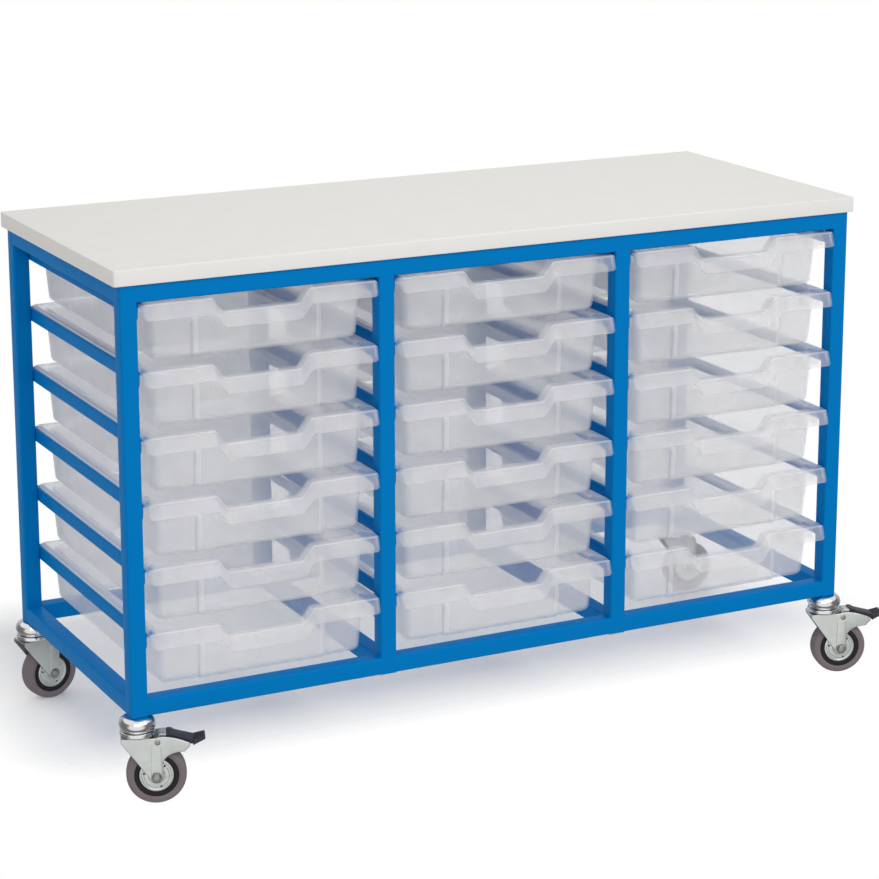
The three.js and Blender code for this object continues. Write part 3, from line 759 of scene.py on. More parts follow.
class TRAYUNIT_OT_side_frames(bpy.types.Operator):
    """Makes the posts, cross rails and runners of the four side frames"""
    bl_idname = "trayunit.side_frames"
    bl_label = "Side Frames"

    def execute(self, context):
        look = context.scene.trayunit_frame
        coat = finish_of("coat", blue_coat, look.coat)
        depths = (FRONT + TUBE / 2, BACK - TUBE / 2)
        heights = (FOOT + TUBE / 2, TOP - TUBE / 2)
        ends = (FRONT + TUBE - look.corner, BACK - TUBE + look.corner)
        for place, (name, x) in enumerate(zip(SIDE_FRAMES, POSTS)):
            tubes = [tube(look, (x, y, FOOT), (x, y, TOP)) for y in depths]
            tubes += [tube(look, (x, ends[0], z), (x, ends[1], z)) for z in heights]
            add_piece(f"side_frame_{name}_tubes", smooth(merged(tubes)), coat, "frame", "blue_coat",
                      f"side_frame_{name}")
            sides = [side for side in (-1, 1) if 0 <= place + side < len(SIDE_FRAMES)]
            stacks = []
            for side in sides:
                first = Vector((x + side * TUBE / 2, 0, TRAY_TOP - look.rest_gap))
                stacks.append(grown(row_tree(), runner(look, side), Count=LEVELS, Start=first,
                                    Step=Vector((0, 0, -LEVEL_PITCH)), Material=coat))
            add_piece(f"side_frame_{name}_runners", smooth(merged(stacks)), coat, "frame", "blue_coat")
        return {"FINISHED"}


class TRAYUNIT_OT_long_rails(bpy.types.Operator):
    """Makes the rails along the front and the back"""
    bl_idname = "trayunit.long_rails"
    bl_label = "Long Rails"

    def execute(self, context):
        look = context.scene.trayunit_frame
        coat = finish_of("coat", blue_coat, look.coat)
        for row in ("front", "rear"):
            for level in ("bottom", "top"):
                for column in COLUMNS:
                    node = f"{row}_{level}_rail_{column}"
                    low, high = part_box(node)
                    middle = (low + high) / 2
                    start, end = low.x - look.corner, high.x + look.corner
                    mesh = tube(look, (start, middle.y, middle.z), (end, middle.y, middle.z))
                    add_piece(f"{node}_tube", smooth(mesh), coat, "frame", "blue_coat", node)
        return {"FINISHED"}


class TRAYUNIT_OT_welds(bpy.types.Operator):
    """Lays the weld beads where rails and runners meet the posts"""
    bl_idname = "trayunit.welds"
    bl_label = "Welds"

    def execute(self, context):
        look = context.scene.trayunit_frame
        coat = finish_of("coat", blue_coat, look.coat)
        keep = look.corner
        paths = []
        for x in POSTS:
            for side in (-1, 1):
                face = x + side * TUBE / 2
                if POSTS[0] < face < POSTS[-1]:
                    paths += self.rail_paths(face, keep)
                    paths += self.runner_paths(look, face, side)
            left, right = x - TUBE / 2 + keep, x + TUBE / 2 - keep
            for y in (FRONT + TUBE, BACK - TUBE):
                paths += [weld_path((left, y, z), (right, y, z)) for z in (FOOT + TUBE, TOP - TUBE)]
        beads = grown(bead_tree(), merged(paths), Radius=look.bead, Ripple=look.ripple, Seed=3.0,
                      Material=coat)
        add_piece("weld_beads", smooth(tidied(beads), 60), coat, "frame", "blue_coat")
        return {"FINISHED"}

    def rail_paths(self, face, keep):
        """Beads on the upper and inner sides of the rails' ends at a post's face."""
        paths = []
        for outer, inner in ((FRONT, FRONT + TUBE), (BACK, BACK - TUBE)):
            start = outer + math.copysign(keep, inner - outer)
            stop = inner - math.copysign(keep, inner - outer)
            paths.append(weld_path((face, start, FOOT + TUBE), (face, stop, FOOT + TUBE)))
            paths.append(weld_path((face, inner, FOOT + TUBE - keep), (face, inner, FOOT + keep)))
            paths.append(weld_path((face, inner, TOP - TUBE + keep), (face, inner, TOP - keep)))
        return paths

    def runner_paths(self, look, face, side):
        """Short beads down the ends of the runners' webs."""
        paths = []
        x = face + side * look.bead / 2
        for level in range(LEVELS):
            top = TRAY_TOP - look.rest_gap - level * LEVEL_PITCH
            for y in (FRONT + look.runner_inset, BACK - look.runner_inset):
                foot = top - look.runner_height + look.bead
                paths.append(weld_path((x, y, top - 2 * look.bead), (x, y, foot)))
        return paths


class TRAYUNIT_OT_frame_fittings(bpy.types.Operator):
    """Makes the end caps of the inner posts and the screws that hold the worktop"""
    bl_idname = "trayunit.frame_fittings"
    bl_label = "Frame Fittings"

    def execute(self, context):
        look = context.scene.trayunit_frame
        castor = context.scene.trayunit_castor
        pale = finish_of("cap", satin_plastic, "Pale plastic", look.cap)
        caps = grown(grid_tree(), self.cap(look), Middle=MIDDLE + Vector((0, 0, FOOT)), Width=POST_PITCH,
                     Depth=BACK - FRONT - TUBE, Columns=2, Rows=2, Material=pale)
        add_piece("post_end_caps", smooth(caps), pale, "frame", "frosted_plastic")
        zinc = finish_of("zinc", zinc_plate, castor.zinc)
        screws = grown(grid_tree(), self.screw(look), Middle=MIDDLE + Vector((0, 0, TOP - TUBE)),
                       Width=POSTS[-1] - POSTS[0], Depth=(BACK - FRONT) * look.screw_spread,
                       Columns=len(POSTS), Rows=2, Material=zinc)
        add_piece("worktop_screws", smooth(screws), zinc, "frame", "zinc_plate")
        return {"FINISHED"}

    def cap(self, look):
        """An end cap, drawn in towards its foot."""
        outline = rounded_square(TUBE / 2, look.corner)
        drop = look.cap_drop
        levels = ((0.80, drop), (0.93, 0.8 * drop), (0.97, 0.4 * drop), (0.97, SHY))
        return skin([[(x * part, y * part, -down) for x, y in outline] for part, down in levels])

    def screw(self, look):
        """A pan headed screw, head down, with a cross recess."""
        r = look.screw
        rim = -0.02 * r
        dome = [(r * math.sin(a), -0.15 * r - 0.4 * r * math.cos(a)) for a in (0.35, 0.7, 1.05, 1.4)]
        head = turned([(0, -0.55 * r), *dome, (r, rim), (0, rim)], 32)
        wide, thin, deep = 0.5 * r, 0.12 * r, -0.3 * r
        slots = [block((-x, -y, -r), (x, y, deep)) for x, y in ((wide, thin), (thin, wide))]
        return carved(head, slots)


class TRAYUNIT_OT_worktop(bpy.types.Operator):
    """Makes the laminated board and its edge band"""
    bl_idname = "trayunit.worktop"
    bl_label = "Worktop"

    def execute(self, context):
        look = context.scene.trayunit_worktop
        low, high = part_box("worktop")
        inset = look.band_thickness + look.seam
        board = skin([self.ring(low, high, inset, look, z) for z in (low.z, high.z)])
        add_piece("worktop_board", smooth(board), finish_of("laminate", laminate, look.laminate), "frame",
                  "white_laminate", "worktop")
        profile = self.band_profile(low, high, look)
        band = skin([self.ring(low, high, back, look, z) for back, z in [*profile, profile[0]]], caps=False)
        add_piece("worktop_edge_band", smooth(band, 50), finish_of("band", edge_band, look.band), "frame",
                  "white_laminate")
        return {"FINISHED"}

    def ring(self, low, high, inset, look, height):
        """The board's outline at one height, set in by the given amount."""
        radius = max(look.corner - inset, 0.2 * MM)
        left, right, front, back = low.x + inset, high.x - inset, low.y + inset, high.y - inset
        corners = ((right - radius, back - radius, 0), (left + radius, back - radius, 90),
                   (left + radius, front + radius, 180), (right - radius, front + radius, 270))
        return [(*point, height) for x, y, start in corners
                for point in arc((x, y), radius, start, start + 90, 6)]

    def band_profile(self, low, high, look):
        """The band's section as pairs of inset and height, its outer edges eased."""
        ease, thick = look.ease, look.band_thickness
        top, foot = high.z - SHY, low.z + SHY
        upper = [(ease - x, top - ease + z) for x, z in arc((0, 0), ease, 0, 90, 4)]
        lower = [(ease - x, foot + ease + z) for x, z in arc((0, 0), ease, -90, 0, 4)]
        return [*lower, *upper, (thick, top), (thick, foot)]


class TRAYUNIT_OT_trays(bpy.types.Operator):
    """Moulds the trays with their lips, hand scoops, label panels and ribs"""
    bl_idname = "trayunit.trays"
    bl_label = "Trays"

    def execute(self, context):
        look = context.scene.trayunit_tray
        plastic = finish_of("frosted", frosted_plastic, look.plastic)
        low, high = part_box("tray_left_1")
        shell = self.shell(look, high - low)
        ribs = self.ribs(look, plastic)
        for column in COLUMNS:
            for level in range(LEVELS):
                node = f"tray_{column}_{level + 1}"
                low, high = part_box(node)
                place = Matrix.Translation(((low.x + high.x) / 2, low.y, high.z))
                add_piece(f"{node}_shell", moved(shell.copy(), place), plastic, node, "frosted_plastic", node)
                add_piece(f"{node}_ribs", moved(ribs.copy(), place), plastic, node, "frosted_plastic")
        return {"FINISHED"}

    def drop(self, look, x):
        """Drop of the front rim at a distance from the scoop's middle."""
        top, floor = look.scoop_top / 2, look.scoop_floor / 2
        part = clamped((top - abs(x)) / (top - floor))
        return -look.scoop_dip * part * part * (3 - 2 * part)

    def proud(self, look, x, z):
        """How far the front wall stands forward at a point of the label panel."""
        inside = clamped((look.panel / 2 + PANEL_EASE - abs(x)) / (2 * PANEL_EASE))
        below = clamped((-look.panel_drop - z) / PANEL_SLOPE)
        return look.panel_step * inside * below

    def stations(self, look):
        """Places across the front where the scoop or the panel bends."""
        top, floor, edge = look.scoop_top / 2, look.scoop_floor / 2, look.panel / 2
        slope = [floor + (top - floor) * step / 10 for step in range(11)]
        right = [floor * part for part in QUARTERS] + slope
        right += [top + 6 * MM, edge - look.panel_edge - 1 * MM, edge - look.panel_edge]
        right += [edge + aside * MM for aside in (-1.4, -0.9, 0, 0.9, 1.4, 14)]
        return [-x for x in reversed(right)] + [0.0] + right

    def outline(self, look, half, front, back, near, far):
        """One ring in plan: front from left to right, then round corners of a near and a far radius."""
        start, end = front + near, back - far
        sides = [start + look.lip_return, start + 2 * look.lip_return]
        sides += [start + (end - start) * part for part in QUARTERS]
        ring = [(x, front) for x in self.stations(look)]
        ring += arc((half - near, start), near, -90, 0, CORNER_STEPS)
        ring += [(half, y) for y in sides]
        ring += arc((half - far, end), far, 0, 90, CORNER_STEPS)
        ring += [((half - far) * part, back) for part in (0.5, 0, -0.5)]
        ring += arc((far - half, end), far, 90, 180, CORNER_STEPS)
        ring += [(-half, y) for y in reversed(sides)]
        ring += arc((near - half, start), near, 180, 270, CORNER_STEPS)
        return ring

    def past_front(self, look, index, count):
        """Points between a point of a ring and the ring's front: 0 on the front itself."""
        front = len(self.stations(look))
        return min(max(index - front + 1, 0), max(count - index, 0))

    def round_corner(self, steps):
        """How far round a front corner a point lies, as an angle."""
        return math.pi / 2 * clamped((steps - 1) / CORNER_STEPS)

    def hang(self, look, steps):
        """How much of the lip's height hangs at a point: all along the front, cut off aslant at its ends."""
        return 1 - look.lip_cut * math.sin(self.round_corner(steps)) if steps < LIP_END else 0

    def droop(self, look, steps):
        """How far the rim is rounded off near the lip's ends."""
        rise = 1 - math.cos(self.round_corner(steps))
        return look.lip_droop * rise * max(1 - DROOP_FADE * max(steps - CORNER_END, 0), 0)

    def wall_milk(self, look, steps, x):
        """How milky a wall is: most at the back, more on the panel's edges, least along the sides."""
        if not steps and -look.panel_edge <= abs(x) - look.panel / 2 <= PANEL_EASE:
            return look.edges
        if steps > SIDE_END:
            return look.back
        return look.front + (look.sides - look.front) * min(steps / CORNER_END, 1)

    def floor_milk(self, look, steps, x):
        """How milky the floor is: the same all over."""
        return look.floor

    def foot_milk(self, look, steps, x):
        """How milky the bend between wall and floor is: as the wall, with a line along the front."""
        return self.wall_milk(look, steps, x) if steps else look.edges

    def lip_milk(self, look, steps, x):
        """How milky the flange is: thin along the lip, thick past the lip's ends."""
        return look.lip if steps < LIP_END else look.flange

    def rim_milk(self, look, steps, x):
        """How milky the flange's outer edge is."""
        return look.edges if steps < LIP_END else look.rim

    def shell(self, look, size):
        """A tray with its flange top at z = 0, its middle at x = 0 and its lip's lower edge at y = 0."""
        half, depth, height = size.x / 2, size.y, size.z
        wall_front = look.lip_lean + look.lip_reach
        wall_half, wall_back = half - look.overhang, depth - look.overhang
        tight = look.corner - look.wall
        rings, milks = [], []

        def leaning(z):
            return look.draft * -z / height

        def add_ring(ring, shape, milk):
            made, milky = [], []
            for i, (x, y) in enumerate(ring):
                steps = self.past_front(look, i, len(ring))
                made.append(shape(x, y, steps))
                milky.append(milk(look, steps, x))
            rings.append(made)
            milks.append(milky)

        def wall_ring(inset):
            return self.outline(look, wall_half - inset, wall_front + inset, wall_back - inset, tight, tight)

        floor = look.wall - height
        foot_top = floor + look.foot
        for angle in FOOT_ANGLES:
            a = math.radians(angle)
            inset = look.wall + leaning(foot_top) + look.foot * (1 - math.sin(a))
            z = floor + look.foot * (1 - math.cos(a))

            def foot(x, y, steps):
                return x, y if steps else y - self.proud(look, x, foot_top), z

            add_ring(wall_ring(inset), foot, self.foot_milk if angle else self.floor_milk)
        for part in WALL_PARTS:
            level = foot_top + (-look.bend - foot_top) * part

            def wall(x, y, steps):
                if steps:
                    return x, y, level
                z = foot_top + (self.drop(look, x) - look.bend - foot_top) * part
                return x, y + leaning(z) - leaning(level) - self.proud(look, x, z), z

            milk = self.wall_milk if part < 1 else self.lip_milk
            add_ring(wall_ring(look.wall + leaning(level)), wall, milk)
        full = look.wall + look.overhang

        def add_flange(outwards, fall, skirt=0, rim=False):
            part = outwards / full
            reach = (look.wall + look.lip_reach) * part
            near = tight + (look.lip_corner - tight) * part
            far = tight + (look.flange_corner - tight) * part
            ring = self.outline(look, wall_half - look.wall + outwards, wall_front + look.wall - reach,
                                wall_back - look.wall + outwards, near, far)

            def flange(x, y, steps):
                top = self.droop(look, steps) * -part ** 2 if steps else self.drop(look, x)
                down = skirt * self.hang(look, steps)
                narrower = x * (1 - look.lip_taper * down)
                return narrower, y - look.lip_lean * down, top - fall - down * (look.lip_height - look.bend)

            add_ring(ring, flange, self.rim_milk if rim else self.lip_milk)

        for angle in BEND_ANGLES:
            a = math.radians(angle)
            add_flange(look.bend * (1 - math.cos(a)), look.bend * (1 - math.sin(a)))
        for angle in (0, *BEND_ANGLES):
            a = math.radians(angle)
            inset, fall = look.bend * (1 - math.sin(a)), look.bend * (1 - math.cos(a))
            add_flange(full - inset, fall, rim=0 < angle < 90)
        for part in LIP_PARTS:
            add_flange(full, look.bend, part)
        return self.thickened(look, rings, milks)

    def thickened(self, look, rings, milks):
        """The moulding's sheet with its floor closed and its wall's thickness behind it."""
        mesh = bpy.data.meshes.new("tray")
        faces = [tuple(range(len(rings[0])))]
        faces += [face[::-1] for face in ring_faces(rings)]
        mesh.from_pydata([point for ring in rings for point in ring], [], faces)
        self.make_milky(mesh, [value for ring in milks for value in ring])
        holder = held(tidied(mesh, outwards=False))
        solidify = holder.modifiers.new("Wall", "SOLIDIFY")
        solidify.thickness = look.wall
        solidify.offset = -1
        solidify.use_even_offset = True
        return smooth(baked(holder), 40)

    def make_milky(self, mesh, values):
        """Writes on each point of a mesh how milky it is."""
        mesh.attributes.new("milk", "FLOAT", "POINT").data.foreach_set("value", values)

    def ribs(self, look, plastic):
        """The stiffening ribs between a tray's front wall and its lip."""
        lip, wall = look.lip_lean + look.wall, look.lip_lean + look.lip_reach
        top, foot = -look.wall, -look.lip_height
        outline = points_from((lip, top), (0.3, -0.1)) + points_from((wall, top), (0.3, -0.1))
        outline += points_from((wall, foot), (0.3, -2)) + points_from((lip, foot), (-3.5, 2))
        rows = []
        for side in (-1, 1):
            rib = skin([[(x, y, z) for y, z in outline] for x in (-look.rib / 2, look.rib / 2)])
            self.make_milky(rib, [look.lip] * len(rib.vertices))
            rows.append(grown(row_tree(), rib, Count=RIBS, Start=Vector((side * look.rib_place, 0, 0)),
                              Step=Vector((side * look.rib_pitch, 0, 0)), Material=plastic))
        return merged(rows)


def castor_place(name):
    """The castor's own frame: origin at the post's foot, +X along its trail."""
    swivel = Vector(JOINTS[f"castor_{name}_swivel"]["pos_m"])
    wheel = Vector(JOINTS[f"wheel_{name}_roll"]["pos_m"])
    trail = wheel - swivel
    heading = math.atan2(trail.y, trail.x)
    return Matrix.Translation((swivel.x, swivel.y, FOOT)) @ Matrix.Rotation(heading, 4, "Z")


def axle_place(name):
    """Where the axle crosses the castor's own X-Z plane."""
    local = castor_place(name).inverted() @ Vector(JOINTS[f"wheel_{name}_roll"]["pos_m"])
    return local.x, local.z


def across(mesh):
    """A mesh turned about Z, with its axis laid across the wheel instead."""
    return moved(mesh, Matrix.Rotation(math.pi / 2, 4, "X"))


class TRAYUNIT_OT_castor_heads(bpy.types.Operator):
    """Makes the castors' domed heads, ball races and king pins"""
    bl_idname = "trayunit.castor_heads"
    bl_label = "Castor Heads"

    def execute(self, context):
        look = context.scene.trayunit_castor
        chrome = finish_of("chrome", chrome_plate, look.chrome)
        for name in CASTORS:
            place = castor_place(name)
            cover, race = turned(self.cover(look)), turned(self.race(look))
            add_piece(f"castor_cover_{name}", smooth(moved(cover, place)), chrome, "frame", "chrome_plate",
                      f"castor_head_{name}")
            add_piece(f"castor_race_{name}", smooth(moved(race, place)), chrome, "frame", "chrome_plate")
        return {"FINISHED"}

    def cover(self, look):
        """Section of the domed cover: flat top, round shoulder, neck and rolled lip."""
        r, drop = look.head, look.head_drop
        top, roof, lip = -0.4 * MM, -0.3 * drop, -look.head_lip * drop
        flat, shoulder, fall = 0.60 * r, 0.40 * r, 0.40 * drop
        section = [(0, top), (flat, top)]
        for a in [math.radians(degrees) for degrees in range(10, 91, 10)]:
            section.append((flat + shoulder * math.sin(a), top - fall * (1 - math.cos(a))))
        section += points_from((r, -0.50 * drop), (-0.5, 0)) + points_from((r, -0.58 * drop), (-1.7, 0))
        section += points_from((r, lip), (-2.3, 1.2), (-1.8, 0.8), (-1.9, 0), (-4.5, 0))
        return section + points_from((r, roof), (-4.5, 0)) + [(0, roof)]

    def race(self, look):
        """Section of the ball race, with the king pin below it."""
        r, drop, pin = look.head, look.head_drop, look.king_pin
        lip, foot = -look.head_lip * drop, -drop - look.gap - 2 * look.sheet
        section = points_from((0, lip), (0, 0.5))
        section += points_from((r, lip), (-4.8, 0.5), (-4.8, -1.2), (-2.6, -1.5), (-1.3, -2.4), (-0.8, -4))
        section += points_from((r, -drop), (-1.0, 2.4), (-2.4, 0.6), (-3.6, 0))
        return section + [(pin, -drop), (pin, foot), (0, foot)]


class TRAYUNIT_OT_castor_forks(bpy.types.Operator):
    """Presses the castors' forks, with arms where there is a brake"""
    bl_idname = "trayunit.castor_forks"
    bl_label = "Castor Forks"

    def execute(self, context):
        look = context.scene.trayunit_castor
        zinc = finish_of("zinc", zinc_plate, look.zinc)
        made = {}
        for name in CASTORS:
            brake = name in BRAKED
            if brake not in made:
                made[brake] = smooth(self.fork(look, axle_place(name), brake), 40)
            add_piece(f"castor_fork_{name}_sheet", moved(made[brake].copy(), castor_place(name)), zinc,
                      f"castor_{name}", "zinc_plate", f"castor_fork_{name}")
        return {"FINISHED"}

    def fork(self, look, axle, brake):
        """A fork in the castor's own frame."""
        x, z = axle
        crown, leg = look.crown, look.leg
        top = -look.head_drop - look.gap
        root = (x + leg, top - 32 * MM)
        outline = [(-crown, top), (crown, top)]
        if brake:
            throat = x + 14 * MM
            shoulder, tip, toe = points_from((look.arm, top), (0, -8), (0, -12), (-7, -19))
            outline += bend((crown, top), (throat, top + 5 * MM), shoulder)
            outline += [tip, toe, *bend(toe, (throat, toe[1]), root)]
        else:
            shoulder, end = points_from((x, top), (8, 0), (8, -8))
            outline += [*bend((crown, top), shoulder, end), root]
        outline += arc(axle, leg, 0, -158, 18)
        outline += points_from((-crown, top), (0, -5))
        inner = look.fork_inner / 2
        width = 2 * (inner + look.sheet)
        cutters = [block((-BEYOND, -inner, z - BEYOND), (BEYOND, inner, top - look.sheet))]
        if brake:
            cutters.append(block((x - 4.5 * MM, -inner, top - 2 * look.sheet), (BEYOND, inner, BEYOND)))
        plate = carved(pressed(outline, width, 0.9 * MM), cutters)
        return merged([plate, *self.panels(look, axle, top, width)])

    def panels(self, look, axle, top, width):
        """The raised stiffening panels on the outer faces of the legs."""
        x, leg, proud = axle[0], look.leg, 0.8 * MM
        high, low = top - 10.5 * MM, top - 13 * MM
        outline = [(x - 0.7 * leg, high), (x + 0.55 * leg, high), (x + 0.74 * leg, low)]
        outline += arc(axle, 0.82 * leg, 0, -180, 18)
        panels = []
        for side in (-1, 1):
            panel = pressed(outline, 2 * proud, 0.5 * proud)
            panels.append(moved(panel, Matrix.Translation((0, side * (width / 2 + 0.02 * MM), 0))))
        return panels


class TRAYUNIT_OT_castor_wheels(bpy.types.Operator):
    """Makes the tyres, wheel centres, hub discs and axle bolts"""
    bl_idname = "trayunit.castor_wheels"
    bl_label = "Castor Wheels"

    def execute(self, context):
        look = context.scene.trayunit_castor
        rubber = finish_of("rubber", grey_rubber, look.rubber)
        black = finish_of("black", satin_plastic, "Black plastic", look.black)
        zinc = finish_of("zinc", zinc_plate, look.zinc)
        steel = finish_of("bolt", zinc_plate, look.bolt, "Bolt steel")
        for name in CASTORS:
            x, z = axle_place(name)
            place = castor_place(name) @ Matrix.Translation((x, 0, z))
            wheel, swivel = f"wheel_{name}", f"castor_{name}"
            add_piece(f"castor_tyre_{name}_rubber", smooth(moved(self.tyre(look), place)), rubber, wheel,
                      "grey_rubber", f"castor_tyre_{name}")
            add_piece(f"castor_wheel_{name}_centre", smooth(moved(self.centre(look), place)), black, wheel,
                      "black_plastic", f"castor_wheel_centre_{name}")
            add_piece(f"castor_hub_discs_{name}", smooth(moved(self.discs(look), place)), zinc, wheel,
                      "zinc_plate")
            add_piece(f"castor_axle_{name}_bolt", smooth(moved(self.axle(look), place)), steel, swivel,
                      "zinc_plate", f"castor_axle_{name}")
        return {"FINISHED"}

    def tyre(self, look):
        """The tyre, with rounded shoulders and a moulded ring on each side."""
        r, half, ease = look.wheel, look.tyre / 2, 4.5 * MM
        profile = points_from((look.rim, half), (0.1, -0.6), (1.1, 0))
        profile += points_from((r, half), (-7, 0), (-6.4, 0.25), (-5.6, 0.25), (-5, 0))
        for a in [math.radians(degrees) for degrees in range(10, 91, 16)]:
            profile.append((r - 0.25 * MM - ease + ease * math.sin(a), half - ease + ease * math.cos(a)))
        profile.append((r, 0.25 * half))
        return across(turned(both_sides(profile), ROUND))

    def centre(self, look):
        """The black moulded centre that shows as a ring round the disc."""
        half = look.tyre / 2 - 0.4 * MM
        profile = points_from((0, half), (4.6, -1.6))
        profile += points_from((look.disc, half), (-0.6, -1.6), (0, -0.8), (0.8, 0))
        profile += points_from((look.rim, half), (-0.8, 0), (0, -0.6))
        return across(turned(both_sides(profile), ROUND))

    def discs(self, look):
        """The two dished zinc discs over the hub, each with three small windows."""
        half, r = look.tyre / 2 - 1.9 * MM, look.disc - 0.7 * MM
        profile = points_from((0, half), (5, 0))
        profile += points_from((r, half), (0, 0), (0, 0.7), (-0.8, 1.2), (-2.4, 1.3))
        profile += points_from((r, half), (-3.2, 0.8), (-5.2, 0.9), (-6, 1.5))
        profile += points_from((0, half), (10.5, 1.9)) + points_from((0, 0), (9.6, 12.5), (5, 12.5))
        triangle = points_from((0, 0), (13.4, 0), (16.8, -1.9), (16.8, 1.9))
        windows = []
        for degrees in (50, 170, 290):
            prism = skin([[(x, y, z) for x, y in triangle] for z in (half - 1 * MM, half + 6 * MM)])
            windows.append(moved(prism, Matrix.Rotation(math.radians(degrees), 4, "Z")))
        near = carved(turned(profile, ROUND), windows)
        far = moved(near.copy(), Matrix.Rotation(math.pi, 4, "X"))
        return across(merged([near, far]))

    def axle(self, look):
        """The axle bolt: hexagon head, washers, shank, and a nut with the bolt's end through it."""
        seat = look.fork_inner / 2 + look.sheet + 0.85 * MM
        shank = points_from((0, -seat), (0, 0), (4.1, 0))
        shank += points_from((0, look.axle_end), (4.1, -0.3), (3.5, 0), (0, 0))
        parts = [turned(shank, 32)]
        for side, tall in ((-1, 2.6 * MM), (1, 3.2 * MM)):
            turn = Matrix.Rotation(math.pi, 4, "X") if side < 0 else Matrix.Identity(4)
            place = Matrix.Translation((0, 0, side * seat)) @ turn
            parts += [moved(part, place) for part in (self.washer(), self.hexagon(tall))]
        return across(merged(parts))

    def washer(self):
        """A washer that lies on the fork's leg."""
        return turned(points_from((0, 0), (4.2, 0), (7, 0), (7, 0.7), (6.7, 0.9), (4.2, 0.9)), 48)

    def hexagon(self, tall):
        """A bolt's head or a nut, chamfered, on top of its washer."""
        corner, foot = 6 * MM, 0.9 * MM
        rings = []
        for part, z in ((1, foot), (1, foot + 0.7 * tall), (0.84, foot + tall)):
            angles = [math.radians(60 * k) for k in range(6)]
            rings.append([(part * corner * math.cos(a), part * corner * math.sin(a), z) for a in angles])
        return skin(rings)


class TRAYUNIT_OT_brake_pedals(bpy.types.Operator):
    """Makes the brake levers, their covers, ridged treads and pins"""
    bl_idname = "trayunit.brake_pedals"
    bl_label = "Brake Pedals"

    def execute(self, context):
        look = context.scene.trayunit_castor
        plastic = finish_of("pedal", satin_plastic, "Pedal plastic", look.pedal)
        zinc = finish_of("zinc", zinc_plate, look.zinc)
        steel = finish_of("bolt", zinc_plate, look.bolt, "Bolt steel")
        for name in BRAKED:
            place = castor_place(name)
            local = place.inverted() @ Vector(JOINTS[f"pedal_{name}_press"]["pos_m"])
            pivot = (local.x, local.z)
            body = f"pedal_{name}"
            add_piece(f"brake_pedal_{name}_cover", smooth(moved(self.cover(look, pivot, plastic), place), 40),
                      plastic, body, "pedal_plastic", f"brake_pedal_{name}")
            add_piece(f"brake_pedal_{name}_lever", smooth(moved(self.lever(pivot), place), 40), zinc, body,
                      "zinc_plate")
            add_piece(f"brake_pedal_{name}_pin", smooth(moved(self.pin(look, pivot), place), 40), steel, body,
                      "zinc_plate")
        return {"FINISHED"}

    def lever(self, pivot):
        """The zinc lever, from its pin to the tread."""
        outline = arc(pivot, 4.4 * MM, 180, 315, 10) + points_from(pivot, (24, -2), (46, -5))
        outline += bend(*points_from(pivot, (46, -2), (24, 4), (14, 8)), 8)
        outline += points_from(pivot, (3.6, 8.6), (2, 7))
        return pressed(outline, 18.6 * MM, 0.7 * MM)

    def pin(self, look, pivot):
        """The pin that the lever turns on, with a riveted head on each side of the fork."""
        half = look.fork_inner / 2 + look.sheet
        profile = points_from((0, half), (0, 1.2), (2.4, 1.2), (3.6, 0.5), (3.6, 0.1), (2.9, 0))
        pin = across(turned(both_sides(profile), 32))
        return moved(pin, Matrix.Translation((pivot[0], 0, pivot[1])))

    def cover(self, look, pivot, plastic):
        """The plastic cover over the lever, with the ridged tread at its end."""
        start, z = look.arm + 4 * MM, pivot[1]
        high_end, low_end = points_from((start, z), (0.5, 0.6), (0.5, -6.5))
        outline = points_from(pivot, (10.5, -3.5), (10.5, 7))
        outline += bend(*points_from(pivot, (10.5, 7), (11, 10), (14, 10)), 6)
        outline += bend(*points_from(pivot, (14, 10), (18, 10), (20, 7.6)), 8)
        outline += bend(*points_from(pivot, (20, 7.6), (22, 6.6)), high_end, 8)
        outline.append(low_end)
        cover = pressed(outline, 20 * MM, 1.0 * MM)
        rise, run, high = 3 * MM, 13.8 * MM, z - 0.2 * MM
        under = points_from((start, z), (0, -7.7), (13.8, -0.8), (15, 0.3))
        upper = points_from((start, high), (15, 2.2), (13.8, 3), (0, 0))
        tread = pressed(under + upper, 24 * MM, 0.8 * MM)
        ridge_line = points_from((0, 0), (1.4, 0), (13.4, 0), (13, 0.9), (1.8, 0.9))
        ridge = pressed(ridge_line, 1.3 * MM, 0.25 * MM, 2)
        ridges = grown(row_tree(), ridge, Count=RIDGES, Start=Vector((0, (1 - RIDGES) / 2 * RIDGE_PITCH, 0)),
                       Step=Vector((0, RIDGE_PITCH, 0)), Material=plastic)
        slope = Matrix.Rotation(-math.atan2(rise, run), 4, "Y")
        moved(ridges, Matrix.Translation((start, 0, high - 0.2 * MM)) @ slope)
        return merged([cover, tread, ridges])


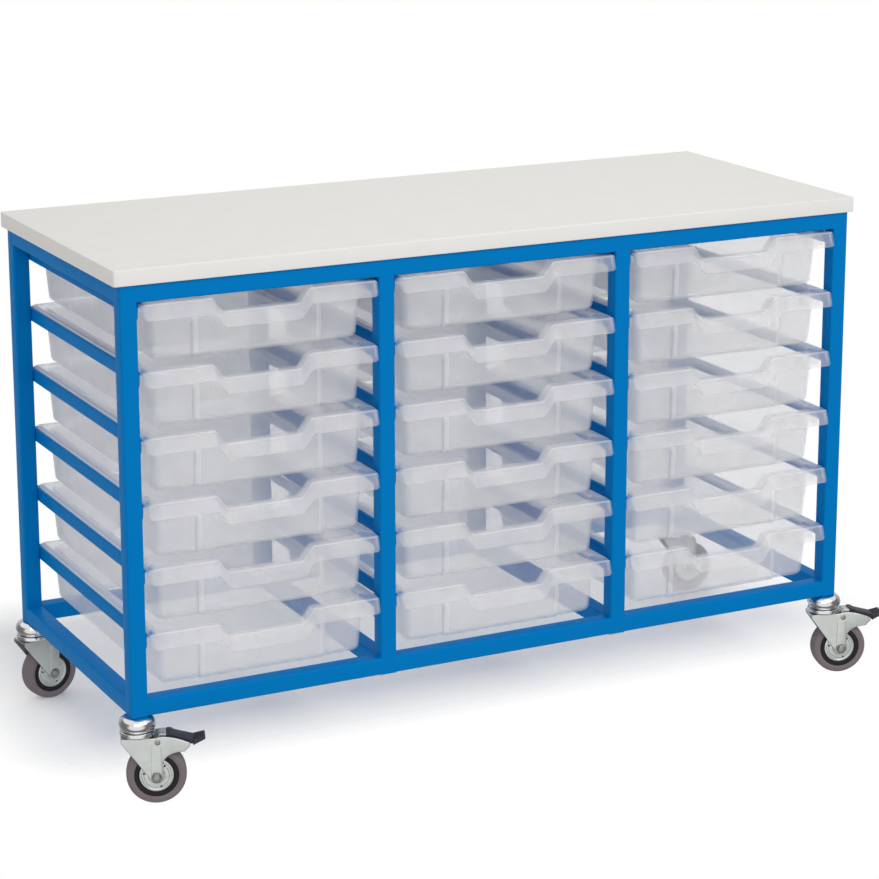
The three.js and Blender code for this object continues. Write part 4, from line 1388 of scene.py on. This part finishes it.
class TRAYUNIT_OT_stage(bpy.types.Operator):
    """Sets the floor, the soft studio light and the camera"""
    bl_idname = "trayunit.stage"
    bl_label = "Stage"

    def execute(self, context):
        scene = context.scene
        look = scene.trayunit_stage
        scene.view_settings.view_transform = "Standard"
        scene.cycles.transparent_max_bounces = 40
        scene.cycles.diffuse_bounces = 8
        self.floor(scene, look)
        self.world(scene, look)
        self.softbox(scene, "Key softbox", look.key, *KEY_BOX)
        self.softbox(scene, "Fill softbox", look.fill, *FILL_BOX)
        self.softbox(scene, "Back softbox", look.fill, *BACK_BOX)
        self.camera(scene, look)
        return {"FINISHED"}

    def shown_ray(self, nodes):
        """1 for what the camera sees directly, in a mirror or through glass."""
        path = nodes.add("ShaderNodeLightPath").outputs
        seen = nodes.maths("MAXIMUM", path["Is Camera Ray"], path["Is Glossy Ray"])
        return nodes.maths("MAXIMUM", seen, path["Is Transmission Ray"])

    def floor(self, scene, look):
        """A pale floor that keeps the shadow and fades into the white round it."""
        half = Vector((look.floor_width / 2, look.floor_depth / 2, 0))
        reach = half + Vector((look.floor_fade, look.floor_fade, 0))
        middle = Vector((MIDDLE.x + look.floor_right, FRONT + look.floor_back, 0))
        signs = ((-1, -1), (1, -1), (1, 1), (-1, 1))
        corners = [(middle.x + x * reach.x, middle.y + y * reach.y, 0) for x, y in signs]
        mesh = bpy.data.meshes.new("floor")
        mesh.from_pydata(corners, [], [(0, 1, 2, 3)])
        finish = Finish("Pale floor", look.floor, 0.9)
        finish.set("Specular IOR Level", 0.1)
        finish.set("Emission Color", (1, 1, 1, 1))
        lift = finish.maths("MULTIPLY", self.shown_ray(finish), look.floor_lift)
        finish.vary("Emission Strength", lift)
        from_middle = finish.vectors("ABSOLUTE", finish.vectors("SUBTRACT", finish.place, middle))
        past = finish.vectors("MAXIMUM", finish.vectors("SUBTRACT", from_middle, half), (0, 0, 0))
        finish.vary("Alpha", finish.spread(finish.vectors("LENGTH", past), 1, 0, 0, look.floor_fade))
        mesh.materials.append(finish.material)
        floor = bpy.data.objects.new("floor", mesh)
        scene.collection.objects.link(floor)

    def world(self, scene, look):
        """Even light, shown as plain white, with dim screens near and far that only polished metal shows."""
        scene.world = bpy.data.worlds.new("Studio")
        scene.world.use_nodes = True
        nodes = Nodes(scene.world.node_tree)
        direction = nodes.add("ShaderNodeTexCoord").outputs["Generated"]
        view = (-math.sin(look.turn), math.cos(look.turn), 0)
        along = nodes.vectors("DOT_PRODUCT", direction, view)
        height = nodes.add("ShaderNodeSeparateXYZ", {"Vector": direction}).outputs["Z"]
        near = nodes.spread(along, 0, 1, *NEAR_SCREEN)
        far = nodes.spread(along, 1, FAR_SHARE, *FAR_SCREEN)
        low = nodes.spread(height, 0, 1, *SCREEN_TOP)
        glossy = nodes.add("ShaderNodeLightPath").outputs["Is Glossy Ray"]
        screen = near
        for part in (far, low, glossy):
            screen = nodes.maths("MULTIPLY", screen, part)
        shade = nodes.spread(screen, 1, look.dim)
        plain = nodes.spread(self.shown_ray(nodes), look.sky, 1)
        background = nodes.tree.nodes["Background"]
        background.inputs["Color"].default_value = (1, 1, 1, 1)
        nodes.tree.links.new(nodes.maths("MULTIPLY", plain, shade), background.inputs["Strength"])

    def softbox(self, scene, name, power, place, size):
        """A square area light that faces the unit."""
        lamp = bpy.data.lights.new(name, "AREA")
        lamp.energy = power
        lamp.size = size
        box = bpy.data.objects.new(name, lamp)
        scene.collection.objects.link(box)
        box.location = place
        aim = LIGHT_AIM - Vector(place)
        box.rotation_euler = aim.to_track_quat("-Z", "Y").to_euler()

    def camera(self, scene, look):
        """The camera at the photograph's viewing angle."""
        lens = bpy.data.cameras.new("Camera")
        lens.lens = look.lens
        lens.sensor_width = 36
        lens.shift_x, lens.shift_y = look.shift
        camera = bpy.data.objects.new("Camera", lens)
        scene.collection.objects.link(camera)
        camera.location = CORNER_LOW + Vector(look.camera)
        camera.rotation_euler = (math.pi / 2 - look.tilt, 0, look.turn)
        scene.camera = camera


OPERATORS = (
    TRAYUNIT_OT_stage,
    TRAYUNIT_OT_worktop,
    TRAYUNIT_OT_side_frames,
    TRAYUNIT_OT_long_rails,
    TRAYUNIT_OT_welds,
    TRAYUNIT_OT_frame_fittings,
    TRAYUNIT_OT_trays,
    TRAYUNIT_OT_castor_heads,
    TRAYUNIT_OT_castor_forks,
    TRAYUNIT_OT_castor_wheels,
    TRAYUNIT_OT_brake_pedals,
)
LOOKS = {
    "trayunit_frame": FrameLook,
    "trayunit_worktop": WorktopLook,
    "trayunit_tray": TrayLook,
    "trayunit_castor": CastorLook,
    "trayunit_stage": StageLook,
}


class TRAYUNIT_PT_sidebar(bpy.types.Panel):
    """Lists the unit's sizes, colours and pieces"""
    bl_idname = "TRAYUNIT_PT_sidebar"
    bl_label = "Tray Unit"
    bl_space_type = "VIEW_3D"
    bl_region_type = "UI"
    bl_category = "Tray Unit"

    def draw(self, context):
        for operator in OPERATORS:
            self.layout.operator(operator.bl_idname)
        for group in LOOKS:
            look = getattr(context.scene, group)
            box = self.layout.box()
            for name in look.__annotations__:
                box.prop(look, name)


CLASSES = (*LOOKS.values(), *OPERATORS, TRAYUNIT_PT_sidebar)


def register():
    for item in CLASSES:
        bpy.utils.register_class(item)
    for name, look in LOOKS.items():
        setattr(bpy.types.Scene, name, PointerProperty(type=look))


def unregister():
    for name in LOOKS:
        delattr(bpy.types.Scene, name)
    for item in reversed(CLASSES):
        bpy.utils.unregister_class(item)


def main():
    """Registers the add-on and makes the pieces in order."""
    register()
    for operator in OPERATORS:
        group, name = operator.bl_idname.split(".")
        getattr(getattr(bpy.ops, group), name)()


if __name__ == "__main__":
    main()
